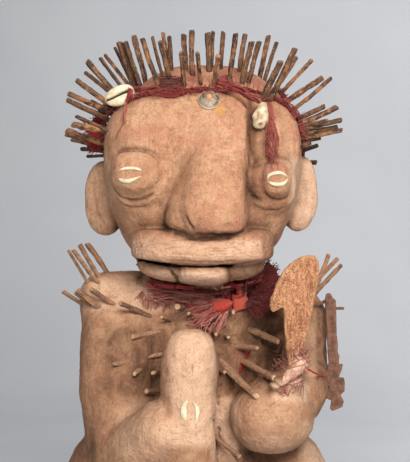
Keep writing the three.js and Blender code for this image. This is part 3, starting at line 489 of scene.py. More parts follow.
def wood_look():
    k = Look("earth coated wood")
    broad, mid = k.noise(24, detail=3), k.noise(85, detail=4, rough=0.6)
    c = k.mix(k.ease(broad, 0.36, 0.66), srgb(188, 141, 108), srgb(210, 165, 130))
    c = k.mix(k.ease(mid, 0.46, 0.70, 0, 0.55), c, srgb(170, 116, 84))                       # warmer clouds
    smudge = k.noise(150, detail=5, rough=0.72, warp=0.8)
    c = k.mix(k.ease(smudge, 0.52, 0.66, 0, 0.55), c, srgb(132, 95, 71))                     # brown smudges
    blotch = k.noise(62, k.stretch(k.obj, (1, 1, 0.7), (0, 25, 0)), detail=6, rough=0.7, warp=0.7)
    # darker browns: painted shade in recesses and on sides turned from the light, and some darker regions of the wood
    c = k.mix(k.math("MULTIPLY", k.attr("dark"), k.ease(blotch, 0.36, 0.62, 0.5, 1.0)), c, srgb(106, 77, 58))
    c = k.mix(k.math("MULTIPLY", k.attr("pink"), k.ease(k.noise(70, detail=5), 0.35, 0.7, 0.05, 0.6)), c, srgb(188, 120, 100))
    # paler where the pale attribute is set: painted light on the lit parts
    c = k.mix(k.math("MULTIPLY", k.attr("pale"), k.ease(k.noise(110, detail=4), 0.3, 0.7, 0.5, 0.9)), c, srgb(238, 200, 170))
    level = k.attr("level")
    grain = k.noise(420, k.stretch(k.obj, (1, 1, 0.13)), detail=3, rough=0.6, warp=0.4)
    c = k.mix(k.math("MULTIPLY", k.math("MULTIPLY", k.math("SUBTRACT", 1.0, level), k.ease(k.attr("pale"), 0.2, 0.9, 1.0, 0.35)), k.ease(grain, 0.50, 0.68, 0, 0.36)), c, srgb(150, 106, 80))      # upright grain
    lying = k.noise(460, k.stretch(k.obj, (0.09, 1, 1)), detail=3, rough=0.6, warp=0.3)
    c = k.mix(k.math("MULTIPLY", level, k.ease(lying, 0.48, 0.66, 0, 0.55)), c, srgb(150, 108, 82))
    across = k.noise(520, k.stretch(k.obj, (0.2, 1, 1), (0, 28, 0)), detail=4, rough=0.62, warp=0.9)
    worn = k.ease(k.noise(42, detail=3), 0.48, 0.6)
    c = k.mix(k.math("MULTIPLY", worn, k.ease(across, 0.5, 0.66, 0, 0.42)), c, srgb(146, 104, 78))   # scratches
    fine = k.noise(560, detail=4, rough=0.68)
    c = k.mix(k.ease(fine, 0.50, 0.70, 0, 0.42), c, srgb(124, 84, 62))                       # dark specks
    c = k.mix(k.math("MULTIPLY", k.math("SUBTRACT", 1.0, k.math("MULTIPLY", k.attr("dark"), 0.7)), k.ease(k.noise(330, detail=5, rough=0.7), 0.52, 0.72, 0, 0.40)), c, srgb(224, 190, 162))   # pale dust
    pits = k.cells(330, rand=1.0)
    pit = k.math("MULTIPLY", k.ease(pits, 0.11, 0.2, 1, 0), k.ease(k.noise(90), 0.56, 0.66))
    c = k.mix(k.math("MULTIPLY", pit, 0.65), c, srgb(92, 62, 47))
    c = k.mix(k.math("MULTIPLY", k.attr("stain"), k.ease(k.noise(240, detail=5), 0.3, 0.64, 0.3, 1.0)), c, srgb(146, 74, 66))
    c = k.mix(k.math("MULTIPLY", k.attr("yellow"), k.ease(k.noise(300, detail=4), 0.35, 0.6, 0.1, 0.9)), c, srgb(206, 152, 78))
    edge = k.math("MULTIPLY", k.attr("edge"), k.ease(k.noise(220, detail=4), 0.3, 0.65, 0.2, 1.0))
    c = k.mix(k.math("MULTIPLY", edge, 0.5), c, srgb(226, 190, 163))
    # painted shade: browner in hollows, creases and where shadows fall, near black in the deepest
    cave = k.math("MULTIPLY", k.attr("cave"), k.ease(k.noise(150, detail=4), 0.2, 0.7, 0.75, 1.0))
    c = k.mix(k.ease(cave, 0.10, 0.70, 0, 0.72), c, srgb(104, 70, 50))
    c = k.mix(k.ease(cave, 0.55, 1.0, 0, 0.8), c, srgb(50, 32, 24))
    rough = k.ease(k.noise(130, detail=4), 0.3, 0.7, 0.78, 0.95)
    h = k.math("ADD", k.math("MULTIPLY", k.noise(260, detail=5, rough=0.62), 1.0), k.math("MULTIPLY", grain, 0.28))
    h = k.math("ADD", h, k.math("MULTIPLY", k.math("MULTIPLY", lying, level), 0.3)); h = k.math("SUBTRACT", h, k.math("MULTIPLY", pit, 0.4)); h = k.math("ADD", h, k.math("MULTIPLY", across, 0.3))
    n = k.bump(h, 2.4, 0.8); n = k.bump(fine, 1.2, 0.75, n)
    return k.done(c, rough, n, Specular_IOR_Level=0.2)


# ------------------------------------------------------------------ the carved figure
XS = np.arange(-136, 136.1, 1.5)
YS = np.concatenate([np.arange(-150, -10, 1.5), np.arange(-10, 131, 2.6)])
ZS = np.concatenate([np.arange(-4.8, 119, 2.4), np.arange(120, 511, 1.5)])
AX = (XS, YS, ZS)
GRID = grid_field(XS, YS, ZS)


def height(P):
    return sample(GRID, AX, np.atleast_2d(np.asarray(P, float)))


def normal(P, e=1.6):
    P = np.atleast_2d(np.asarray(P, float))
    return unit(np.stack([height(P + d) - height(P - d) for d in np.eye(3) * e], 1))


def sight(px):
    """where lines of sight meet the carving; where one misses, its nearest point"""
    px = np.atleast_2d(np.asarray(px, float)); y = np.arange(-149, 110, 0.5)
    s = FOCAL / (y - EYE_Y)
    X = (px[:, :1] - MID_X) / s; Z = EYE_Z - (px[:, 1:2] - MID_Y) / s
    Q = np.stack([X, np.broadcast_to(y, X.shape), Z], 2)
    v = height(Q.reshape(-1, 3)).reshape(X.shape)
    i = np.where((v < 0).any(1), (v < 0).argmax(1), v.argmin(1))
    return Q[np.arange(len(px)), i]


V, Q = skin(GRID, *AX)
N = normal(V)
for _ in range(2):
    V -= N * height(V)[:, None] * 0.9
N = normal(V)

# Cracks, creases and shadow lines: a line of pixels laid on the carving, its half width and depth in mm. Each is cut in
# and darkened as painted shade.
CRACKS = [
    ([(192.5, 338), (194, 352), (192.6, 368), (193.6, 382), (192, 396)], 0.42, 1.5),
    ([(209.2, 110), (209.8, 115), (208.8, 121)], 0.45, 0.9),
    ([(208.4, 143), (209.2, 147)], 1.1, 0.9),
    ([(186.2, 215.5), (188, 221), (190.8, 226.5), (194.5, 231.5)], 1.2, 2.2),
    ([(165, 219), (164.6, 225), (170, 229.5), (180, 233.5), (192, 237), (205, 238.2), (220, 237.6), (234, 235), (244, 230.5)], 1.7, 2.2),
    ([(111.5, 180), (113.5, 189), (119, 195.6), (127.5, 199.6), (138, 200.4), (149, 196.6), (157, 190)], 1.5, 1.6),
    ([(112.6, 193), (119, 202), (129, 206.6), (141, 207.2), (152, 203.5), (160, 197)], 1.3, 0.8),
    ([(246, 172), (247.6, 184), (252, 194.5), (260, 200.5)], 1.1, 1.2),
    ([(264.6, 190), (269, 196.5), (277, 199.4), (286, 198.2), (291.6, 191.5)], 1.6, 1.7),
    ([(251, 202), (261, 208.4), (275, 210), (288, 206)], 1.3, 0.9),
    ([(217, 91), (234, 95.6), (244, 103), (250, 111)], 2.0, 2.4),
    ([(215, 388), (216.5, 402), (214, 418), (216, 432), (216.5, 462)], 1.2, 3.0),
    ([(211, 420), (217, 433), (224, 444), (232, 452), (241, 464)], 1.9, 4.5),
    ([(243, 366), (256, 374), (270, 381), (284, 388)], 1.6, 2.6),
    ([(289, 390), (280, 399), (270, 406), (262, 417)], 0.5, 1.4),
    ([(129.5, 338), (132, 356), (136, 374)], 0.5, 0.7),
    ([(110, 164), (117, 153.5), (130, 149), (143, 149.5), (154, 154)], 2.2, 0.45),
    ([(266, 160), (277, 156.5), (288, 160), (293.5, 168)], 1.2, 0.6),
    ([(142, 253), (156, 257.5), (176, 260.4), (200, 262), (228, 261.4), (250, 256)], 1.2, 0.7),
    ([(170.5, 269), (172.4, 274), (177, 280), (181, 284)], 1.4, 1.8),
    ([(228, 268), (229, 276), (226, 283)], 1.2, 0.5),
    ([(136.5, 259), (150, 262.6), (163, 265.6)], 1.2, 0.8),
    ([(92, 178), (95, 196), (99, 214), (108, 228)], 1.2, 0.7),
    ([(305, 178), (306, 196), (303, 212), (297, 224)], 1.1, 0.4),
    ([(268, 322), (262, 334), (266, 350)], 1.6, 1.6),
]
groove = np.zeros(len(V)); cut = np.zeros(len(V))
for line, w, deep in CRACKS:
    L = sight(line); L = smooth_path(L, max(8, len(L) * 5)); L = L - normal(L) * height(L)[:, None]
    near = ((V > L.min(0) - 4 * w - 2) & (V < L.max(0) + 4 * w + 2)).all(1).nonzero()[0]
    P = V[near]; best = np.full(len(near), 1e9); end = np.zeros(len(near))
    for i in range(len(L) - 1):
        d = L[i + 1] - L[i]; t = np.clip(((P - L[i]) @ d) / (d @ d + 1e-9), 0, 1)
        e = np.linalg.norm(P - L[i] - t[:, None] * d, axis=1)
        f = (i + t) / (len(L) - 1); end = np.where(e < best, f, end); best = np.minimum(best, e)
    wob = w * (1 + 0.45 * noise(P, 5, 3)); fade = np.clip(np.minimum(end, 1 - end) * 7, 0.25, 1)
    g = np.exp(-(best / wob) ** 2) * fade
    cut[near] = np.maximum(cut[near], g * deep); groove[near] = np.maximum(groove[near], np.exp(-(best / (wob * 1.25)) ** 2) * fade * min(1.0, deep / 1.8))

rough_wood = 0.85 * noise(V, 27, 11) + 0.55 * noise(V, (10, 10, 15), 12) + 0.34 * noise(V, (5, 5, 8), 13) + 0.24 * noise(V, 3.0, 14)
face = np.clip((V[:, 2] - 285) / 20, 0, 1)
rough_wood *= 1.15 - 0.35 * face
rough_wood -= 1.3 * np.clip(noise(V, (7, 7, 11), 15) - 0.52, 0, 1)                           # shallow chips
rough_wood = rough_wood * np.clip((V[:, 2] - 1.5) / 6, 0, 1)
# painted shade: darker in hollows and creases, from how closely the carving closes in round each point
cave = np.zeros(len(V)); ridge = np.zeros(len(V))
for h, w in ((3.5, 0.35), (8, 0.35), (16, 0.3)):
    cave += w * np.clip(1 - height(V + N * h) / h, 0, 1)
for h, w in ((3, 0.5), (7, 0.5)):
    ridge += w * np.clip(1 + height(V - N * h) / h, 0, 1)
V = V + N * (rough_wood - cut)[:, None]
V[:, 2] = np.maximum(V[:, 2], 0.0)

px, py = seen(V); front = np.clip((0.1 - N[:, 1]) / 0.35, 0, 1)
# painted shade in the cut lines too, and a few random dark specks
cave = np.clip(cave * 1.25 + 0.75 * groove + 0.25 * np.clip(noise(V, 6, 21) - 0.35, 0, 1), 0, 1)
# painted shade at the foot of the base, where it meets the floor
cave = np.maximum(cave, 0.55 * np.clip((30 - V[:, 2]) / 30, 0, 1) * np.clip(0.6 + noise(V, 14, 22), 0, 1))


def patch(x0, x1, y0, y1, soft=8):
    """1 inside a box of the picture, fading over its edges, on what faces the camera"""
    fx = np.clip(np.minimum(px - x0, x1 - px) / soft + 0.5, 0, 1); fy = np.clip(np.minimum(py - y0, y1 - py) / soft + 0.5, 0, 1)
    return fx * fy * front


band_plane = V[:, 2] - (461.0 + (V[:, 1] + 62.0) * -0.62)      # above 0: scalp side of the band
hair = np.clip(1 - np.abs(band_plane + 2) / 9, 0, 1) + 0.85 * np.clip(band_plane / 10, 0, 1)
hair *= np.clip((V[:, 2] - 350) / 20, 0, 1)
stain = np.clip(hair * (0.55 + 0.5 * noise(V, 13, 31)), 0, 1)
stain = np.maximum(stain, 0.6 * patch(150, 235, 283, 318, 16) * np.clip(0.4 + noise(V, 9, 32), 0, 1))
stain = np.maximum(stain, 0.5 * patch(268, 282, 105, 172, 5) * np.clip(0.5 + noise(V, 6, 33), 0, 1))
# darker below the neck, unevenly
dark = np.clip((292 - V[:, 2]) / 20, 0, 1) * (0.46 + 0.3 * noise(V, 22, 34))
# painted shade on the right chest, on the chest left of the post, on the right arm's right side, on the left knee and
# on the right shoulder; the left arm's outer side darker too
dark = np.maximum(dark, 1.0 * patch(204, 300, 300, 400, 14))
dark = np.maximum(dark, 1.0 * patch(98, 182, 322, 404, 22)); dark = np.maximum(dark, 1.0 * patch(148, 184, 312, 366, 12) * np.clip(0.7 + 0.7 * noise(V, 9, 39), 0, 1)); dark = np.maximum(dark, 0.7 * patch(80, 112, 318, 430, 12) * np.clip(0.8 + 0.4 * noise(V, 12, 38), 0, 1))
dark = np.maximum(dark, np.maximum(0.45 * patch(292, 316, 300, 382, 8), 1.0 * patch(315, 332, 300, 382, 4)))
dark = np.maximum(dark, np.maximum(1.0 * patch(60, 98, 424, 470, 10), 0.8 * patch(298, 330, 252, 286, 8)))
fore = np.clip((-58 - V[:, 1]) / 8, 0, 1)


def stroke(line, w):
    """1 along a line of pixels, fading with the distance from it, on what faces the camera"""
    d = np.full(len(V), 1e9)
    for (x0, y0), (x1, y1) in zip(line[:-1], line[1:]):
        q = np.clip(((px - x0) * (x1 - x0) + (py - y0) * (y1 - y0)) / ((x1 - x0) ** 2 + (y1 - y0) ** 2), 0, 1)
        d = np.minimum(d, np.hypot(px - x0 - q * (x1 - x0), py - y0 - q * (y1 - y0)))
    return np.exp(-(d / w) ** 2) * np.clip((50 - V[:, 1]) / 20, 0, 1)


# painted light: less darkening on the post, the bulge below the grip, the left shoulder and the torso ridge
dark *= 1 - 0.85 * patch(158, 214, 326, 446, 8) * fore
dark *= 1 - 0.7 * patch(238, 306, 384, 452, 14) * fore
dark *= 1 - 0.75 * patch(86, 186, 278, 314, 12)
dark *= 1 - 0.8 * patch(212, 240, 392, 462, 6)
# painted light: paler patches on the lit parts, the post, the bulge, the left shoulder, the ears, the lips, the slab's
# front, the right arm, the torso ridge and the lower body
pale = np.maximum(0.9 * patch(158, 216, 326, 446, 8) * fore, 0.16 * patch(238, 306, 388, 452, 14) * fore)
# painted shade: not paler down the post's left side
pale *= 1 - 0.9 * stroke([(162, 340), (161, 375), (165, 415)], 11)
for x0, x1, y0, y1, q, f_ in ((84, 190, 276, 312, 0.8, 12), (290, 330, 158, 240, 1.0, 6), (178, 226, 272, 287, 1.0, 4), (142, 171, 271, 282, 0.7, 3), (128, 262, 240, 262, 0.55, 5), (226, 262, 240, 260, 0.85, 4), (236, 292, 434, 456, 0.5, 6), (272, 308, 381, 403, 0.95, 6), (296, 316, 326, 382, 0.35, 5), (300, 350, 420, 470, 0.7, 10), (212, 240, 398, 462, 1.0, 6), (120, 168, 400, 462, 0.35, 12), (80, 112, 160, 240, 0.3, 6)):
    pale = np.maximum(pale, q * patch(x0, x1, y0, y1, f_))
level = np.clip(np.minimum(V[:, 2] - 296, 336 - V[:, 2]) / 4, 0, 1) * np.clip((-40 - V[:, 1]) / 10, 0, 1)
level = np.maximum(level, 0.2 * patch(115, 205, 118, 146, 8))
# darker on the cheeks, and painted shade in the recess right of the forehead, down the nose's left side and left of the
# axe
for x0, x1, y0, y1, q, f_ in ((118, 150, 212, 232, 0.4, 8), (247, 266, 104, 200, 0.6, 5), (246, 268, 204, 236, 0.5, 8), (172, 190, 160, 206, 0.12, 8), (262, 284, 296, 366, 1.0, 8)):
    dark = np.maximum(dark, q * patch(x0, x1, y0, y1, f_) * np.clip(0.75 + 0.5 * noise(V, 7, 36), 0, 1))
# darker towards the back
dark = np.maximum(dark, 0.6 * np.clip((V[:, 1] - 30) / 60, 0, 1))
# painted shadows left of the axe and beside the hanging shell
cave = np.maximum(cave, 1.0 * patch(262, 286, 306, 372, 9) * np.clip(0.95 + 0.5 * noise(V, 8, 37), 0, 1)); cave = np.maximum(cave, 0.8 * patch(246, 258, 106, 136, 4))
# painted shade under the fan
cave = np.maximum(cave, 0.45 * patch(240, 286, 296, 318, 10) * np.clip(0.9 + 0.6 * noise(V, 8, 40), 0, 1))
# painted shadows along lines: under the nose, along the mouth and the lower lip's steps, down both sides of the nose,
# in the recess right of the forehead, down the post's left side and under the right eye
for line, w_, q in (([(165.5, 228.5), (172, 230.4), (180, 233.4), (192, 236.6), (205, 237.8), (220, 237.2), (234, 235), (243, 230.6)], 2.6, 1.0),
                    ([(174, 236), (188, 241), (203, 242), (216, 240.6)], 3.2, 0.5),
                    ([(136, 259.5), (149, 264.8), (160, 266.8), (170, 267.6)], 1.9, 0.6),
                    ([(170, 268.2), (190, 269.0), (215, 269.4), (238, 267.6), (257, 263.6), (268, 257.5)], 1.2, 0.6),
                    ([(170, 269), (172.5, 274), (177, 280), (181, 284)], 1.5, 0.85),
                    ([(229, 271), (231, 277), (228, 284)], 1.6, 0.6), ([(244, 270), (246, 276)], 1.4, 0.6),
                    ([(261, 238), (261.4, 246), (260, 256)], 1.0, 0.3),
                    ([(168, 206), (164.6, 213), (163.6, 220), (165, 228)], 2.4, 0.7),
                    ([(186, 215), (188, 221), (191, 227), (195, 232)], 1.3, 0.8),
                    ([(171, 224.5), (177, 227.4), (186, 231)], 1.6, 0.9), ([(170, 209), (174, 212), (176, 218)], 2.2, 0.3),
                    ([(247.5, 112), (248.5, 130), (251, 150), (256, 163)], 2.6, 0.85), ([(164, 340), (163, 375), (168, 412)], 7.0, 0.42),
                    ([(245, 150), (245.5, 180), (245, 212)], 1.6, 0.45),
                    ([(254, 190), (254, 210), (251, 226)], 5.0, 0.28),
                    ([(250, 98), (250.5, 126)], 3.6, 0.85), ([(252, 130), (254, 150), (258, 166)], 4.4, 0.62),
                    ([(246, 207), (262, 211), (280, 210)], 3.0, 0.35)):
    cave = np.maximum(cave, q * stroke(line, w_))
# less painted shade on the lips, the bulge below the grip and the torso ridge
cave *= 1 - 0.75 * np.maximum(patch(142, 169, 271, 284, 3), patch(180, 226, 272, 288, 3))
cave *= 1 - 0.6 * np.maximum(patch(272, 308, 384, 402, 5), patch(213, 238, 396, 456, 5))
# painted shade on the nose's left wing, on the right of the lower lip and at the slab's right end
dark = np.maximum(dark, 0.35 * patch(164, 188, 206, 229, 5))
dark = np.maximum(dark, np.maximum(0.85 * patch(227, 264, 265, 286, 4), 0.5 * patch(261, 277, 234, 256, 3)))
# darker towards the bottom
dark = np.maximum(dark, 0.45 * np.clip((110 - V[:, 2]) / 60, 0, 1))
pink = np.clip(0.4 + 0.9 * noise(V, 30, 35), 0, 1) * (0.35 + 0.65 * face)
pink = np.maximum(pink, patch(120, 196, 124, 140, 8))
yellow = 0.9 * patch(215, 224, 105, 115, 3) + 0.5 * patch(192, 200, 94, 101, 3)
WOOD = wood_look()
figure = make("figure_carved", V, Q, WOOD, True, dict(cave=cave, edge=np.clip(ridge * 1.15 - 0.12, 0, 1), stain=stain, dark=np.clip(dark, 0, 1), pink=pink, yellow=yellow, pale=np.clip(pale, 0, 1), level=level))
m = figure.modifiers.new("thin", "DECIMATE"); m.ratio = min(1.0, 188000 / (2 * len(Q))); m.use_collapse_triangulate = True
bpy.context.view_layer.update()
dg = bpy.context.evaluated_depsgraph_get()
fine = bpy.data.meshes.new_from_object(figure.evaluated_get(dg)); figure.modifiers.clear(); figure.data = fine
fine.polygons.foreach_set("use_smooth", [True] * len(fine.polygons))
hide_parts("figure")


# ------------------------------------------------------------------ pegs: split sticks driven into the wood
def peg_look():
    k = Look("split peg wood")
    g = k.attr("grain", "Vector"); tone = k.attr("tone"); coat = k.attr("coat"); end = k.attr("end")
    streak = k.noise(0.75, k.stretch(g, (1, 1, 0.05)), detail=4, rough=0.65, warp=0.3)
    blot = k.noise(0.16, g, detail=4, rough=0.6)
    c = k.mix(k.ease(streak, 0.38, 0.62), srgb(35, 25, 20), srgb(112, 80, 60))
    c = k.mix(k.math("MULTIPLY", k.ease(blot, 0.42, 0.6), tone), c, srgb(168, 116, 76))       # orange-tan lit faces
    c = k.mix(k.ease(k.noise(0.5, g, detail=3), 0.6, 0.7, 0, 0.7), c, srgb(44, 30, 24))
    # painted shade: darker towards the root, where the peg goes into the wood
    c = k.mix(k.attr("low"), c, srgb(46, 32, 27))
    c = k.mix(k.math("MULTIPLY", k.attr("tipdark"), k.ease(blot, 0.3, 0.6, 0.4, 1.0)), c, srgb(54, 44, 40))
    c = k.mix(k.ease(k.noise(0.9, g, detail=2), 0.64, 0.71, 0, 0.85), c, srgb(214, 182, 152))  # dust
    earth = k.mix(k.ease(k.noise(1.1, g, detail=4), 0.35, 0.65), srgb(132, 98, 74), srgb(190, 150, 120))
    c = k.mix(k.math("MULTIPLY", coat, k.ease(blot, 0.2, 0.6, 0.65, 1.0)), c, earth)
    c = k.mix(end, c, k.mix(k.ease(k.noise(1.3, g, detail=3), 0.35, 0.65), srgb(178, 142, 104), srgb(222, 192, 154)))
    n = k.bump(streak, 0.5, 0.8); n = k.bump(k.noise(1.6, g, detail=3), 0.25, 0.5, n)
    return k.done(c, k.ease(blot, 0.3, 0.7, 0.66, 0.86), n, Specular_IOR_Level=0.3)


PEG = peg_look()


def stick(batch, root, tip, r, seed, coat=0.0, pale=0.0, tipdark=0.5, bend=1.0):
    rng = np.random.default_rng(seed)
    root, tip = np.asarray(root, float), np.asarray(tip, float)
    d = tip - root; L = np.linalg.norm(d); d = d / L
    u = unit(np.cross(d, [0.2, -0.9, 0.35])); w = np.cross(d, u)
    n = int(np.clip(L / 3.2, 7, 18)); k = 10
    t = np.linspace(0, 1, n)
    arc = rng.uniform(0, 2 * np.pi); amp = bend * rng.uniform(0.4, 1.5) * min(1, L / 45)
    kink = np.sin(t * np.pi * rng.uniform(0.8, 1.9) + rng.uniform(0, 3)) * amp * np.clip(t * 2, 0, 1) * np.clip((1 - t) * 1.2 + 0.1, 0, 1)
    C = root + d * (L * t)[:, None] + (u * math.cos(arc) + w * math.sin(arc)) * kink[:, None]
    spin = rng.uniform(0, np.pi); a = 2 * np.pi * np.arange(k) / k
    square = 1 / (np.abs(np.cos(a + spin)) ** 4 + np.abs(np.sin(a + spin)) ** 4) ** 0.25
    flat = 1 - rng.uniform(0.05, 0.3) * np.cos(a * 1 + rng.uniform(0, 6)) ** 2
    R = r * (square * flat)[None, :] * (1 + rng.uniform(-0.16, 0.12) * t[:, None]) * (1 + 0.05 * rng.standard_normal((n, 1))) * (1 + 0.045 * rng.standard_normal((n, k)))
    twist = rng.uniform(-0.5, 0.5)
    V = []
    for i in range(n):
        b = a + twist * t[i]
        V.append(C[i] + R[i][:, None] * (u * np.cos(b)[:, None] + w * np.sin(b)[:, None]))
    slant = unit(d + 0.35 * rng.uniform(-1, 1) * u + 0.35 * rng.uniform(-1, 1) * w)
    e = C[-1]
    for s, f in ((0.45 * r, 0.9), (0.62 * r, 0.55)):      # a blunt, slanted, slightly rounded end
        ring = V[n - 1] - e; ring = ring * f
        ring = ring + d * (s - (ring @ slant) / (d @ slant))[:, None]
        V.append(e + ring)
    V = np.array(V); m = len(V)
    F = []
    for i in range(m - 1):
        for j in range(k):
            F.append([i * k + j, i * k + (j + 1) % k, (i + 1) * k + (j + 1) % k, (i + 1) * k + j])
    F.append(list(range(k))[::-1])
    V = V.reshape(-1, 3); F.append([(m - 1) * k + j for j in range(k)])
    al = np.concatenate([t, [1, 1]])
    off = rng.uniform(0, 200, 3)
    mm = al * L
    ang = np.tile(a, m); rad = np.concatenate([np.full(k * n, r), np.full(k, r * 0.9), np.full(k, r * 0.5)])
    grain = np.stack([rad * np.cos(ang) + off[0], rad * np.sin(ang) + off[1], np.repeat(mm, k) + off[2]], 1)
    top = np.repeat(np.concatenate([np.zeros(n), [0.35, 1.0]]), k)
    # the low attribute is painted shade, darkest at the root
    batch.add(V, F, grain=grain, tone=rng.uniform(0.15, 1.0), coat=np.clip(coat * (1.25 - 0.55 * np.repeat(al, k)), 0, 1) * (1 - top),
              end=top * pale, low=np.repeat(np.clip(0.75 - al * 1.5, 0, 0.7), k) * (1 - coat), tipdark=tipdark * rng.uniform(0.2, 1.0) * np.repeat(np.clip(al * 4 - 3, 0, 1), k) * (1 - top * pale))


